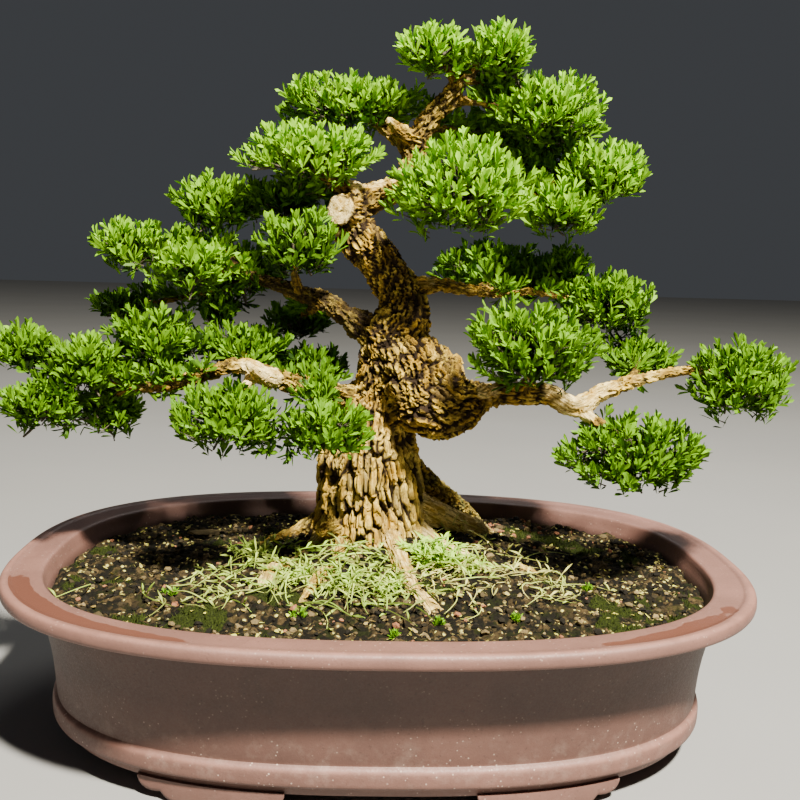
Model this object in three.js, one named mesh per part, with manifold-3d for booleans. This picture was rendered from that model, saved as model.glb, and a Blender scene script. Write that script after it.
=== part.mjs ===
// Boxwood bonsai with a thick corky trunk, in an oval unglazed clay pot.
// Units are millimetres and +Z is up. The origin is the centre of the oval, on the
// surface that the pot's feet stand on, with the front of the tree facing -Y.

import * as THREE from 'three';
import { mergeVertices } from 'three/addons/utils/BufferGeometryUtils.js';
import Module from 'manifold-3d';

const wasm = await Module();
wasm.setup();

// Driving dimensions of the pot
const POT_LENGTH = 560;
const POT_DEPTH = 444;
const RIM_HEIGHT = 124;
const OVAL_POWER = 2.58;
const OVAL_SIDES = 32;
const FLOOR_TOP = 25;
const FLOOR_UNDERSIDE = 13;
const DRAIN_HOLE_RADIUS = 17;
const DRAIN_HOLE_X = 118;
const FOOT_NEAR_X = 62;
const FOOT_FAR_X = 160;
const FOOT_OUTER_INSET = 39;
const FOOT_INNER_INSET = 57;

// Room between one piece and the next, and round the wood, whose facets need more
const PIECE_GAP = 0.3;
const WOOD_CLEARANCE = 0.36;

// Driving dimensions of the soil and of what lies in it
const SOIL_EDGE_HEIGHT = 109;
const SOIL_MOUND_HEIGHT = 32;
const SOIL_MOUND_CENTRE = { x: 0, y: 22 };
const SOIL_MOUND_REACH = { x: 112, y: 98 };
const SOIL_EDGE_DROP = 1.5;
const SCREEN_SIZE = 54;
const SCREEN_THICKNESS = 1.2;
const SCREEN_HOLE = 11;
const SCREEN_PITCH = 15;
const CLIP_WIRE_RADIUS = 0.75;
const CLIP_LEG_X = 13;
const CLIP_FOOT_LENGTH = 12;
const CLIP_BEND = 1.6;

// Driving dimensions of the leaves
const LEAF_LENGTH = 16;
const LEAF_WIDTH = 5.8;
const LEAF_THICKNESS = 1.1;
const LEAF_UPWARD_LEAN = 0.35;
const LEAF_WIDEST_SHARE = 0.68;

// Driving dimensions of the pads: how far leaves stand out of the heart, the width from which
// the heart is finer, and where the heart's valleys and tufts lie
const LEAF_STAND = 4;
const BROAD_PAD = 53;
const VALLEY_SHARE = 0.72;
const TUFT_SHARE = 0.98;

// Driving dimensions of the grass, whose crowns sit in holes in the soil
const GRASS_WIDTH = 1.9;
const GRASS_THICKNESS = 0.9;
const CROWN_RADIUS = 3.4;
const CROWN_DEPTH = 7;
const CROWN_HEIGHT = 10;

const UP = new THREE.Vector3(0, 0, 1);

const finishes = {
  clay: new THREE.MeshStandardMaterial({ color: 0x7d5c51, roughness: 0.72, metalness: 0 }),
  earth: new THREE.MeshStandardMaterial({ color: 0x2e2519, roughness: 0.95, metalness: 0 }),
  bark: new THREE.MeshStandardMaterial({ color: 0xa38450, roughness: 0.9, metalness: 0 }),
  foliage: new THREE.MeshStandardMaterial({ color: 0x5f9e2a, roughness: 0.5, metalness: 0 }),
  grass: new THREE.MeshStandardMaterial({ color: 0x8fae62, roughness: 0.6, metalness: 0 }),
  plastic: new THREE.MeshStandardMaterial({ color: 0x1d2b20, roughness: 0.5, metalness: 0 }),
  wire: new THREE.MeshStandardMaterial({ color: 0x8d8f92, roughness: 0.4, metalness: 0.9 }),
};

// Woody limbs. Each line is a list of [x, y, z, radius] from the root end to the tip.
const LOWER_TRUNK = [
  [-8, 25, 66, 38], [-8, 25, 108, 50], [-8, 25, 135, 47], [-9, 20, 166, 42.5], [-12, 12, 197, 40.5],
  [-8, 6, 217, 33], [-3, 0, 237, 25], [-1, -5, 254, 23], [2, -8, 274, 23], [5, -8, 291, 24.5],
  [12, -6, 310, 20.5], [9, -4, 329, 17], [-3, -1, 348, 15.5], [-19, 1, 366, 17.5],
  [-28, 2, 377, 15],
];
const UPPER_TRUNK = [
  [-24, 1, 371, 14], [-29, 3, 382, 14.5], [-25, 4, 392, 12], [-12, 6, 400, 11.5], [3, 9, 405, 10.5],
  [14, 11, 416, 10], [18, 11, 431, 9], [21, 10, 445, 8.5], [28, 9, 458, 8],
  [37, 7, 471, 7], [48, 4, 483, 6.5], [59, 2, 495, 5], [70, 1, 506, 3.5],
];
const SHOULDER = [
  [-1, -10, 289, 22], [17, -14, 274, 30], [35, -18, 255, 34.5], [53, -21, 249, 25],
  [66, -24, 250, 15], [77, -26, 254, 10], [92, -28, 257, 8.5],
];
const BRANCHES = {
  right_bough: [
    [85, -28, 257, 9], [104, -30, 257, 9], [121, -34, 257, 8.5], [141, -38, 249, 9],
    [159, -38, 259, 6.7], [189, -40, 271, 4.9], [225, -46, 279, 3.8], [252, -50, 276, 2.6],
  ],
  right_low_twig: [[141, -38, 249, 6], [159, -45, 237, 4.4], [178, -50, 227, 3]],
  right_front_twig: [[101, -28, 257, 6], [103, -50, 270, 4], [102, -66, 284, 2.6]],
  right_small_twig: [[180, -39, 268, 4.5], [190, -20, 276, 3.2], [197, -2, 281, 2.4]],
  right_middle: [
    [10, -6, 326, 10], [24, -4, 334, 8], [42, 1, 335, 6], [64, 6, 332, 4.8], [83, 12, 330, 4.4],
    [121, 22, 331, 3.4], [152, 22, 325, 2.5],
  ],
  right_back_twig: [[70, 8, 332, 4], [82, 30, 338, 3.2], [90, 48, 345, 2.4]],
  left_middle: [
    [0, -8, 294, 15], [-14, -6, 301, 12], [-32, 2, 311, 8.6], [-53, 10, 322, 7.4],
    [-77, 16, 329, 6.2], [-97, 20, 336, 5.1], [-118, 20, 346, 4], [-141, 18, 354, 3.2],
    [-175, 10, 358, 2.3],
  ],
  left_middle_top_twig: [[-118, 20, 346, 3.6], [-132, 24, 366, 2.9], [-137, 27, 390, 2.3]],
  left_middle_low_twig: [[-112, 20, 343, 3.6], [-128, 4, 342, 2.9], [-142, -10, 343, 2.3]],
  left_inner_twig: [[-66, 13, 325, 5], [-70, -4, 338, 3.6], [-68, -18, 352, 2.5]],
  left_back_twig: [[-50, 9, 320, 5], [-60, 32, 312, 4], [-68, 50, 306, 2.6]],
  left_far_back_twig: [[-100, 21, 336, 4], [-145, 38, 322, 3.2], [-196, 50, 312, 2.3]],
  left_low: [
    [-4, -2, 244, 16], [-26, -13, 249, 9.5], [-48, -20, 254, 8.2], [-68, -26, 259, 7.8],
    [-88, -30, 266, 8.2], [-108, -32, 273, 6.2], [-134, -30, 266, 5.4], [-160, -28, 257, 5.2],
    [-186, -26, 256, 4.5], [-219, -28, 267, 3.6], [-262, -17, 277, 2.4],
  ],
  left_low_top_twig: [[-160, -28, 257, 4.4], [-168, -18, 272, 3.4], [-174, -10, 284, 2.5]],
  left_low_inner_twig: [[-100, -31, 270, 5], [-106, -16, 276, 3.6], [-108, -4, 281, 2.6]],
  left_low_end_twig: [[-216, -28, 265, 3.6], [-234, -36, 255, 2.9], [-248, -40, 249, 2.2]],
  left_low_hanging_twig: [[-190, -26, 255, 4], [-202, -18, 247, 3], [-208, -10, 241, 2.2]],
  left_low_front_twig: [[-96, -31, 268, 5.5], [-104, -46, 258, 4], [-111, -56, 247, 2.8]],
  left_front_twig: [[-52, -22, 255, 6], [-50, -44, 250, 4.6], [-43, -62, 242, 3]],
  left_low_back_twig: [[-44, -18, 253, 5.5], [-50, 2, 260, 4], [-54, 14, 265, 2.8]],
  top_left: [[-18, 5, 398, 10], [-34, 2, 407, 7.2], [-48, -4, 414, 5.4], [-60, -11, 423, 3.6]],
  top_left_back: [[17, 11, 434, 8], [3, 14, 446, 5.4], [-12, 18, 457, 4.2], [-26, 23, 468, 3]],
  front_bough: [[-4, 8, 403, 9], [9, -18, 404, 6.4], [24, -42, 402, 4.8], [38, -56, 401, 3.2]],
  top_right: [[34, 8, 466, 5.5], [58, 8, 474, 4], [84, 12, 470, 3.2], [104, 14, 467, 2.4]],
  top_back_twig: [[26, 9, 454, 6], [40, 24, 455, 4], [54, 37, 456, 2.8]],
  top_far_right: [
    [2, 9, 405, 9], [30, 16, 404, 7.2], [60, 21, 406, 6], [90, 23, 410, 5.1],
    [122, 20, 414, 4.3], [148, 14, 419, 3],
  ],
  top_right_front_twig: [[96, 23, 411, 4.6], [112, 12, 405, 3.6], [124, 0, 400, 2.6]],
  apex_left_twig: [[50, 4, 485, 5.6], [42, -2, 494, 3.8], [35, -6, 502, 2.6]],
  apex_low_twig: [[54, 3, 490, 5], [64, 12, 489, 3.6], [73, 20, 488, 2.6]],
  top_gap_twig: [[92, 23, 410, 4.6], [99, 27, 424, 3.6], [105, 29, 437, 2.5]],
  top_left_under_twig: [[-36, 1, 408, 6.2], [-52, 8, 402, 4], [-68, 10, 400, 2.6]],
  right_joint_twig: [[118, 22, 331, 3.6], [130, 32, 343, 3], [140, 38, 353, 2.3]],
};
const STUBS = {
  cut_stump: [[-24, 3, 389, 12.5], [-34, -7, 389, 12.2], [-41, -14, 389, 11.4]],
  dead_peg: [[-24, 0, 374, 9], [-38, -6, 374, 4.4], [-50, -10, 373, 2.6]],
  dead_spur: [[22, 9, 442, 7.5], [6, 2, 450, 5.4], [-3, -3, 457, 3.4]],
  dead_knuckle: [[-84, -32, 264, 9], [-94, -44, 270, 5.6], [-101, -50, 277, 3]],
};
const ROOTS = {
  front_fork: [
    [4, 4, 146, 9], [10, -30, 136, 7.5], [15, -54, 129, 7.5], [22, -78, 120, 5.6],
    [31, -102, 113, 4], [37, -121, 108, 2.4],
  ],
  front_fork_side: [[22, -78, 119, 4.6], [34, -94, 115, 3.4], [47, -115, 109, 2.2]],
  left_front: [[-26, -4, 142, 10], [-36, -44, 131, 6], [-46, -66, 122, 5.4], [-58, -90, 110, 3.4]],
  left_stump: [[-44, 6, 138, 11], [-68, -26, 129, 6.5], [-80, -50, 121, 8], [-88, -68, 108, 6]],
  right_thin: [
    [26, 10, 146, 7], [48, -6, 133, 4.6], [68, -18, 126, 4], [84, -40, 117, 3], [94, -58, 108, 2],
  ],
  right_thick: [
    [22, 18, 160, 15], [42, 26, 150, 12], [60, 40, 139, 11.4], [80, 58, 129, 10], [96, 76, 117, 6.5],
    [106, 90, 105, 3.5],
  ],
  back_right: [[16, 30, 186, 16], [46, 50, 165, 9], [70, 84, 142, 7], [88, 118, 122, 5], [96, 134, 106, 3]],
  right_far: [
    [24, 18, 100, 11], [84, -6, 106, 5], [106, -10, 117, 4], [124, -28, 113, 3], [136, -52, 104, 2],
  ],
  back_left: [[-20, 40, 150, 17], [-44, 70, 132, 10], [-66, 98, 117, 7], [-84, 118, 100, 4]],
  left: [[-36, 26, 145, 15], [-66, 30, 130, 8], [-92, 26, 120, 6], [-118, 18, 104, 3.5]],
  knob: [[-34, -6, 148, 12], [-44, -20, 150, 7.4], [-50, -28, 149, 5]],
  deep_left: [[-20, 25, 90, 20], [-60, 10, 66, 11], [-110, -8, 52, 5]],
  deep_right: [[4, 25, 90, 20], [44, 36, 64, 11], [98, 48, 50, 5]],
};

// Leafy pads: [name, x, y, z, half width, half depth, half height, leaves]
const PADS = [
  ['apex_left', 32, -8, 509, 30, 27, 20, 10],
  ['apex_right', 81, 4, 513, 27, 28, 22, 10],
  ['apex_low', 77, 24, 487, 19, 20, 15, 6],
  ['top_left_back', -29, 26, 474, 57, 36, 22, 13],
  ['top_left', -61, -15, 431, 50, 36, 24, 13],
  ['top_left_under', -77, 11, 399, 31, 26, 17, 7],
  ['top_back', 66, 46, 458, 33, 26, 18, 8],
  ['top_right', 118, 14, 469, 44, 34, 30, 13],
  ['top_gap', 108, 31, 440, 27, 24, 17, 7],
  ['front', 49, -64, 405, 49, 38, 37, 16],
  ['far_top_right', 163, 10, 425, 38, 33, 28, 12],
  ['middle_right_front', 130, -8, 396, 32, 28, 23, 9],
  ['left_top', -134, 27, 394, 37, 30, 24, 10],
  ['left_far', -195, 6, 361, 27, 25, 20, 8],
  ['left_middle', -148, -13, 346, 32, 25, 22, 9],
  ['left_inner', -67, -22, 363, 32, 26, 29, 10],
  ['left_inner_back', -107, 34, 344, 28, 24, 23, 7],
  ['left_far_back', -214, 54, 312, 27, 24, 14, 7],
  ['left_upper_back', -131, 33, 313, 19, 20, 17, 6],
  ['left_back', -70, 60, 304, 30, 25, 18, 7],
  ['right_back', 92, 58, 350, 52, 34, 23, 12],
  ['right_joint', 145, 41, 355, 22, 20, 16, 6],
  ['right_middle', 172, 20, 325, 40, 33, 28, 11],
  ['right_front', 101, -78, 297, 49, 34, 33, 16],
  ['right_small', 200, 8, 284, 31, 25, 18, 8],
  ['right_end', 260, -52, 274, 41, 33, 32, 14],
  ['right_low', 187, -52, 217, 54, 36, 32, 16],
  ['left_low_end', -272, -14, 282, 26, 25, 21, 8],
  ['left_low_middle', -219, -35, 275, 27, 24, 24, 8],
  ['left_low_top', -177, -6, 292, 38, 28, 26, 10],
  ['left_low_inner', -108, 4, 286, 38, 27, 20, 9],
  ['left_low_tip', -254, -42, 245, 33, 24, 20, 8],
  ['left_low_hanging', -209, -7, 236, 27, 23, 22, 8],
  ['left_low_front', -113, -66, 240, 42, 31, 26, 13],
  ['left_front', -40, -76, 236, 33, 27, 22, 10],
  ['left_low_back', -54, 26, 269, 28, 22, 21, 7],
];

// Grass and herb tufts: [name, x, y, spread, blades]
const TUFTS = [
  ['grass_left', -96, -16, 26, 5],
  ['grass_front_left', -62, -66, 24, 5],
  ['grass_front', -28, -76, 26, 6],
  ['grass_front_right', 4, -76, 22, 5],
  ['grass_right', 66, -40, 20, 5],
  ['herb_front', 38, -42, 16, 5],
];

// Repeatable random numbers between 0 and 1
function seededRandom(seed) {
  let state = seed;
  return () => {
    state = (state + 0x6d2b79f5) | 0;
    let mixed = Math.imul(state ^ (state >>> 15), 1 | state);
    mixed = (mixed + Math.imul(mixed ^ (mixed >>> 7), 61 | mixed)) ^ mixed;
    return ((mixed ^ (mixed >>> 14)) >>> 0) / 4294967296;
  };
}

function solidFromVertices(vertices, triangles) {
  const mesh = new wasm.Mesh({
    numProp: 3,
    vertProperties: new Float32Array(vertices),
    triVerts: new Uint32Array(triangles),
  });
  return new wasm.Manifold(mesh);
}

function solidFromGeometry(geometry) {
  const bare = geometry.index ? geometry.toNonIndexed() : geometry.clone();
  bare.deleteAttribute('normal');
  bare.deleteAttribute('uv');
  const merged = mergeVertices(bare, 1e-4);
  return solidFromVertices(merged.attributes.position.array, merged.index.array);
}

function meshFromSolid(name, solid, material) {
  const { vertProperties, triVerts } = solid.getMesh();
  const geometry = new THREE.BufferGeometry();
  geometry.setAttribute('position', new THREE.BufferAttribute(vertProperties, 3));
  geometry.setIndex(new THREE.BufferAttribute(triVerts, 1));
  geometry.computeVertexNormals();
  const mesh = new THREE.Mesh(geometry, material);
  mesh.name = name;
  return mesh;
}

// A closed skin over a stack of rings, with a point at each end
function skinRings(rings, startPoint, endPoint) {
  const vertices = [];
  const triangles = [];
  const sides = rings[0].length;
  for (const ring of rings) {
    for (const point of ring) vertices.push(point.x, point.y, point.z);
  }
  const startIndex = rings.length * sides;
  const endIndex = startIndex + 1;
  vertices.push(startPoint.x, startPoint.y, startPoint.z, endPoint.x, endPoint.y, endPoint.z);
  for (let side = 0; side < sides; side += 1) {
    const next = (side + 1) % sides;
    triangles.push(startIndex, next, side);
    for (let level = 0; level < rings.length - 1; level += 1) {
      const lower = level * sides;
      const upper = lower + sides;
      triangles.push(lower + side, lower + next, upper + next);
      triangles.push(lower + side, upper + next, upper + side);
    }
    const last = startIndex - sides;
    triangles.push(endIndex, last + side, last + next);
  }
  return solidFromVertices(vertices, triangles);
}

function unionOf(solids) {
  return solids.reduce((joined, solid) => joined.add(solid));
}

function largestBody(solid) {
  const bodies = solid.decompose();
  return bodies.reduce((best, body) => (body.volume() > best.volume() ? body : best));
}

// One ring of the pot's oval, drawn in from the rim by an inset
function ovalRing(inset, height) {
  const ring = [];
  for (let side = 0; side < OVAL_SIDES; side += 1) {
    ring.push(ovalPoint((side / OVAL_SIDES) * Math.PI * 2, inset, height));
  }
  return ring;
}

function ovalPoint(angle, inset, height) {
  const bend = (value) => Math.sign(value) * Math.abs(value) ** (2 / OVAL_POWER);
  return new THREE.Vector3(
    (POT_LENGTH / 2 - inset) * bend(Math.cos(angle)),
    (POT_DEPTH / 2 - inset) * bend(Math.sin(angle)),
    height,
  );
}

// The pot's section from the underside, up the outside, over the lip and down the inside
const OUTER_PROFILE = [
  [43, FLOOR_UNDERSIDE], [41, 20], [36.2, 21.2], [34.6, 23.5], [34.6, 32], [36.8, 35],
  [35.6, 60], [31, 82], [23.5, 112], [2.5, 113.5], [0, 116.5],
  [0, 121], [2.6, RIM_HEIGHT], [8.2, RIM_HEIGHT], [9, RIM_HEIGHT - 0.8],
];
const INNER_PROFILE = [
  [28.6, RIM_HEIGHT - 0.8], [34, 107], [41, 60], [48, 31], [55, FLOOR_TOP],
];

// One foot under the wall, with stepped cloud ends, between two places along the oval
function potFoot(signX, signY) {
  const stations = [0, 0.04, 0.15, 0.21, 0.27, 0.5, 0.73, 0.79, 0.85, 0.96, 1];
  const undersides = [10, 6, 5.2, 1.8, 0, 0, 0, 1.8, 5.2, 6, 10];
  const footTop = FLOOR_UNDERSIDE + 2;
  const rings = stations.map((station, index) => {
    const x = signX * THREE.MathUtils.lerp(FOOT_NEAR_X, FOOT_FAR_X, station);
    const wallY = (inset) => {
      const reach = 1 - (Math.abs(x) / (POT_LENGTH / 2 - inset)) ** OVAL_POWER;
      return signY * (POT_DEPTH / 2 - inset) * reach ** (1 / OVAL_POWER);
    };
    const outer = wallY(FOOT_OUTER_INSET);
    const inner = wallY(FOOT_INNER_INSET);
    const section = [
      new THREE.Vector3(x, outer, footTop),
      new THREE.Vector3(x, inner, footTop),
      new THREE.Vector3(x, inner, undersides[index]),
      new THREE.Vector3(x, outer, undersides[index]),
    ];
    return signX * signY < 0 ? section.reverse() : section;
  });
  const middleOf = (ring) => ring.reduce((sum, point) => sum.add(point), new THREE.Vector3())
    .divideScalar(ring.length);
  return skinRings(rings, middleOf(rings[0]), middleOf(rings[rings.length - 1]));
}

function drainHole(signX) {
  const hole = new THREE.CylinderGeometry(DRAIN_HOLE_RADIUS, DRAIN_HOLE_RADIUS, FLOOR_TOP * 2, 14);
  hole.rotateX(Math.PI / 2);
  hole.translate(signX * DRAIN_HOLE_X, 0, FLOOR_TOP);
  return solidFromGeometry(hole);
}

function makePot() {
  const rings = [...OUTER_PROFILE, ...INNER_PROFILE].map(([inset, height]) => ovalRing(inset, height));
  const underCentre = new THREE.Vector3(0, 0, FLOOR_UNDERSIDE);
  const floorCentre = new THREE.Vector3(0, 0, FLOOR_TOP);
  let pot = skinRings(rings, underCentre, floorCentre);
  for (const signX of [-1, 1]) {
    for (const signY of [-1, 1]) pot = pot.add(potFoot(signX, signY));
    pot = pot.subtract(drainHole(signX));
  }
  return pot;
}

// Thick limbs get more sides than twigs
function limbSides(line) {
  const thickest = Math.max(...line.map((point) => point[3]));
  if (thickest > 40) return 12;
  if (thickest > 30) return 9;
  if (thickest > 11) return 6;
  return thickest > 7.5 ? 5 : 4;
}

// A limb with rings along a smooth line, its radius swelling and pinching as the bark does
function makeLimb(line, { clearance = 0, roughness = 0.05, seed = 1, sides = limbSides(line) } = {}) {
  const random = seededRandom(seed);
  const curve = new THREE.CatmullRomCurve3(line.map(([x, y, z]) => new THREE.Vector3(x, y, z)));
  const spans = line.length - 1;
  const rings = [];
  let across = new THREE.Vector3(1, 0, 0);
  const lobes = [random() * 6, random() * 6, random() * 6];
  for (let span = 0; span < spans; span += 1) {
    const reach = Math.hypot(...[0, 1, 2].map((axis) => line[span + 1][axis] - line[span][axis]));
    const steps = Math.max(1, Math.round(reach / Math.max(24, line[span][3] * 1.2)));
    const lastStep = span === spans - 1 ? steps : steps - 1;
    for (let step = 0; step <= lastStep; step += 1) {
      const along = (span + step / steps) / spans;
      const centre = curve.getPoint(along);
      const tangent = curve.getTangent(along);
      across = across.clone().addScaledVector(tangent, -across.dot(tangent)).normalize();
      const over = new THREE.Vector3().crossVectors(tangent, across);
      const radius = THREE.MathUtils.lerp(line[span][3], line[span + 1][3], step / steps);
      const ring = [];
      for (let side = 0; side < sides; side += 1) {
        const angle = (side / sides) * Math.PI * 2;
        const swell = Math.sin(angle * 3 + lobes[0] + along * 9) + Math.sin(angle * 5 + lobes[1]);
        const knob = 1 + roughness * 0.5 * swell + roughness * (random() - 0.5);
        const reachOut = radius * knob + clearance;
        ring.push(centre.clone()
          .addScaledVector(across, Math.cos(angle) * reachOut)
          .addScaledVector(over, Math.sin(angle) * reachOut));
      }
      rings.push(ring);
    }
  }
  const tipReach = line[spans][3] * 0.5 + clearance;
  const startPoint = curve.getPoint(0).addScaledVector(curve.getTangent(0), -clearance);
  const endPoint = curve.getPoint(1).addScaledVector(curve.getTangent(1), tipReach);
  return skinRings(rings, startPoint, endPoint);
}

function makeWood(clearance) {
  const limbs = [
    makeLimb(LOWER_TRUNK, { clearance, roughness: 0.06, seed: 3 }),
    makeLimb(UPPER_TRUNK, { clearance, roughness: 0.06, seed: 4, sides: 8 }),
    makeLimb(SHOULDER, { clearance, roughness: 0.06, seed: 5 }),
  ];
  let seed = 11;
  for (const group of [BRANCHES, STUBS, ROOTS]) {
    for (const line of Object.values(group)) {
      limbs.push(makeLimb(line, { clearance, roughness: 0.09, seed }));
      seed += 1;
    }
  }
  return unionOf(limbs);
}

// Height of the soil, which rises towards the trunk and is rough on top
function soilHeight(x, y) {
  const alongX = (x - SOIL_MOUND_CENTRE.x) / SOIL_MOUND_REACH.x;
  const alongY = (y - SOIL_MOUND_CENTRE.y) / SOIL_MOUND_REACH.y;
  const mound = SOIL_MOUND_HEIGHT * Math.exp(-(alongX ** 2 + alongY ** 2));
  const lumps = 1.2 * Math.sin(x * 0.09 + 1) * Math.cos(y * 0.11) + 0.8 * Math.sin(x * 0.05 - y * 0.07);
  return SOIL_EDGE_HEIGHT + mound + lumps;
}

function makeSoil(woodClear, tuftCrowns) {
  const rings = INNER_PROFILE.slice(1).reverse()
    .map(([inset, height]) => ovalRing(inset + PIECE_GAP, height + PIECE_GAP));
  const edgeInset = INNER_PROFILE[1][0] + PIECE_GAP;
  for (const share of [1, 0.84, 0.66, 0.45, 0.22]) {
    const ring = ovalRing(edgeInset, 0).map((point) => {
      const x = point.x * share;
      const y = point.y * share;
      return new THREE.Vector3(x, y, soilHeight(x, y) - (share === 1 ? SOIL_EDGE_DROP : 0));
    });
    rings.push(ring);
  }
  const below = new THREE.Vector3(0, 0, FLOOR_TOP + PIECE_GAP);
  const above = new THREE.Vector3(0, 0, soilHeight(0, 0));
  let soil = skinRings(rings, below, above).subtract(woodClear);
  for (const crown of tuftCrowns) soil = soil.subtract(crown);
  const pocketHeight = SCREEN_THICKNESS + CLIP_WIRE_RADIUS * 2 + PIECE_GAP * 3;
  for (const signX of [-1, 1]) {
    const pocket = new THREE.BoxGeometry(SCREEN_SIZE + 1, SCREEN_SIZE + 1, pocketHeight * 2);
    pocket.translate(signX * DRAIN_HOLE_X, 0, FLOOR_TOP);
    soil = soil.subtract(solidFromGeometry(pocket));
  }
  return largestBody(soil);
}

// A plastic mesh square that keeps the soil in over a drainage hole
function makeScreen(signX) {
  const base = FLOOR_TOP + PIECE_GAP;
  const place = (geometry, x, y) => {
    geometry.translate(signX * DRAIN_HOLE_X + x, y, base + SCREEN_THICKNESS / 2);
    return solidFromGeometry(geometry);
  };
  let screen = place(new THREE.BoxGeometry(SCREEN_SIZE, SCREEN_SIZE, SCREEN_THICKNESS), 0, 0);
  for (const column of [-1, 0, 1]) {
    for (const row of [-1, 0, 1]) {
      const hole = new THREE.BoxGeometry(SCREEN_HOLE, SCREEN_HOLE, SCREEN_THICKNESS * 3);
      screen = screen.subtract(place(hole, column * SCREEN_PITCH, row * SCREEN_PITCH));
    }
  }
  return screen;
}

// A wire staple that goes down through the screen and the hole and is bent out underneath
function makeClip(signX) {
  const topHeight = FLOOR_TOP + PIECE_GAP * 2 + SCREEN_THICKNESS + CLIP_WIRE_RADIUS;
  const bottomHeight = FLOOR_UNDERSIDE - PIECE_GAP - CLIP_WIRE_RADIUS;
  const centreX = signX * DRAIN_HOLE_X;
  const half = [
    [CLIP_LEG_X + CLIP_FOOT_LENGTH, bottomHeight], [CLIP_LEG_X + CLIP_BEND, bottomHeight],
    [CLIP_LEG_X, bottomHeight + CLIP_BEND], [CLIP_LEG_X, topHeight - CLIP_BEND],
    [CLIP_LEG_X - CLIP_BEND, topHeight],
  ];
  const line = [
    ...half.map(([x, z]) => [centreX - x, 0, z, CLIP_WIRE_RADIUS]),
    ...half.reverse().map(([x, z]) => [centreX + x, 0, z, CLIP_WIRE_RADIUS]),
  ];
  return makeLimb(line, { roughness: 0 });
}

// A cupped blade, narrow at its root, widest past the middle, with a keel under its midrib
function makeBlade(root, middle, tip, width, thickness) {
  const along = tip.clone().sub(root).normalize();
  const sideways = new THREE.Vector3().crossVectors(along, UP);
  if (sideways.length() < 0.2) sideways.set(1, 0, 0).addScaledVector(along, -along.x);
  sideways.normalize();
  const face = new THREE.Vector3().crossVectors(along, sideways);
  const ring = [
    middle.clone().addScaledVector(sideways, width / 2),
    middle.clone().addScaledVector(face, thickness),
    middle.clone().addScaledVector(sideways, -width / 2),
  ];
  return skinRings([ring], root, tip);
}

// How far an ellipsoid pad reaches from its centre in one direction
function padReach(pad, direction) {
  return Math.hypot(pad.half.x * direction.x, pad.half.y * direction.y, pad.half.z * direction.z);
}

// Planes midway between a pad and each pad that crowds it, facing into the pad
function crowdingPlanes(pad, pads) {
  const planes = [];
  for (const other of pads) {
    if (other === pad) continue;
    const apart = other.centre.clone().sub(pad.centre);
    const distance = apart.length();
    const direction = apart.normalize();
    const reach = padReach(pad, direction);
    const otherReach = padReach(other, direction);
    if (reach + otherReach + 2 < distance) continue;
    const share = (distance * reach) / (reach + otherReach) - PIECE_GAP;
    const normal = direction.clone().negate();
    planes.push({ normal, offset: normal.dot(pad.centre) - share });
  }
  return planes;
}

// A point of a pad's outline in one direction, drawn in or out by a share of its size
function padPoint(pad, direction, share) {
  return new THREE.Vector3(
    pad.centre.x + direction.x * (pad.half.x - LEAF_STAND) * share,
    pad.centre.y + direction.y * (pad.half.y - LEAF_STAND) * share,
    pad.centre.z + direction.z * (pad.half.z - LEAF_STAND) * share,
  );
}

// The twiggy heart of a pad: a ball whose every face is drawn out into a tuft
function makePadHeart(pad, random) {
  const broad = pad.half.x > BROAD_PAD;
  const ball = broad ? new THREE.OctahedronGeometry(1, 1) : new THREE.IcosahedronGeometry(1, 0);
  ball.deleteAttribute('normal');
  ball.deleteAttribute('uv');
  const merged = mergeVertices(ball, 1e-4);
  const corners = [];
  for (let index = 0; index < merged.attributes.position.count; index += 1) {
    corners.push(new THREE.Vector3().fromBufferAttribute(merged.attributes.position, index));
  }
  const points = corners.map((corner) => padPoint(pad, corner, VALLEY_SHARE + 0.12 * random()));
  const triangles = [];
  const faces = merged.index.array;
  for (let face = 0; face < faces.length; face += 3) {
    const around = [faces[face], faces[face + 1], faces[face + 2]];
    const middle = around.reduce((sum, corner) => sum.add(corners[corner]), new THREE.Vector3());
    const tuft = points.length;
    points.push(padPoint(pad, middle.normalize(), TUFT_SHARE + 0.14 * random()));
    for (let side = 0; side < 3; side += 1) triangles.push(around[side], around[(side + 1) % 3], tuft);
  }
  return solidFromVertices(points.flatMap((point) => point.toArray()), triangles);
}

// Leaves stand out of the heart on all sides, leaning up, and reach the pad's outline
function makePadLeaves(pad, planes, random) {
  const leaves = [];
  const goldenAngle = Math.PI * (3 - Math.sqrt(5));
  for (let index = 0; index < pad.leaves; index += 1) {
    const height = 0.96 - (1.76 * (index + 0.5)) / pad.leaves;
    const angle = index * goldenAngle + random() * 0.5;
    const level = Math.sqrt(1 - height ** 2);
    const outward = new THREE.Vector3(Math.cos(angle) * level, Math.sin(angle) * level, height);
    const tip = pad.centre.clone().add(outward.clone().multiply(pad.half));
    const lean = outward.clone().multiply(new THREE.Vector3(1, 1, 0.6));
    lean.addScaledVector(UP, LEAF_UPWARD_LEAN).normalize();
    const root = tip.clone().addScaledVector(lean, -LEAF_LENGTH);
    const middle = root.clone().lerp(tip, LEAF_WIDEST_SHARE);
    const inside = planes.every(({ normal, offset }) => (
      normal.dot(tip) > offset + 1 && normal.dot(middle) > offset + LEAF_WIDTH / 2));
    if (inside) leaves.push(makeBlade(root, middle, tip, LEAF_WIDTH, LEAF_THICKNESS));
  }
  return leaves;
}

function makePad(pad, pads, woodClear, seed) {
  const random = seededRandom(seed);
  const planes = crowdingPlanes(pad, pads);
  let spray = makePadHeart(pad, random);
  for (const leaf of makePadLeaves(pad, planes, random)) spray = spray.add(leaf);
  for (const { normal, offset } of planes) {
    spray = spray.trimByPlane([normal.x, normal.y, normal.z], offset);
  }
  return largestBody(spray.subtract(woodClear));
}

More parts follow.
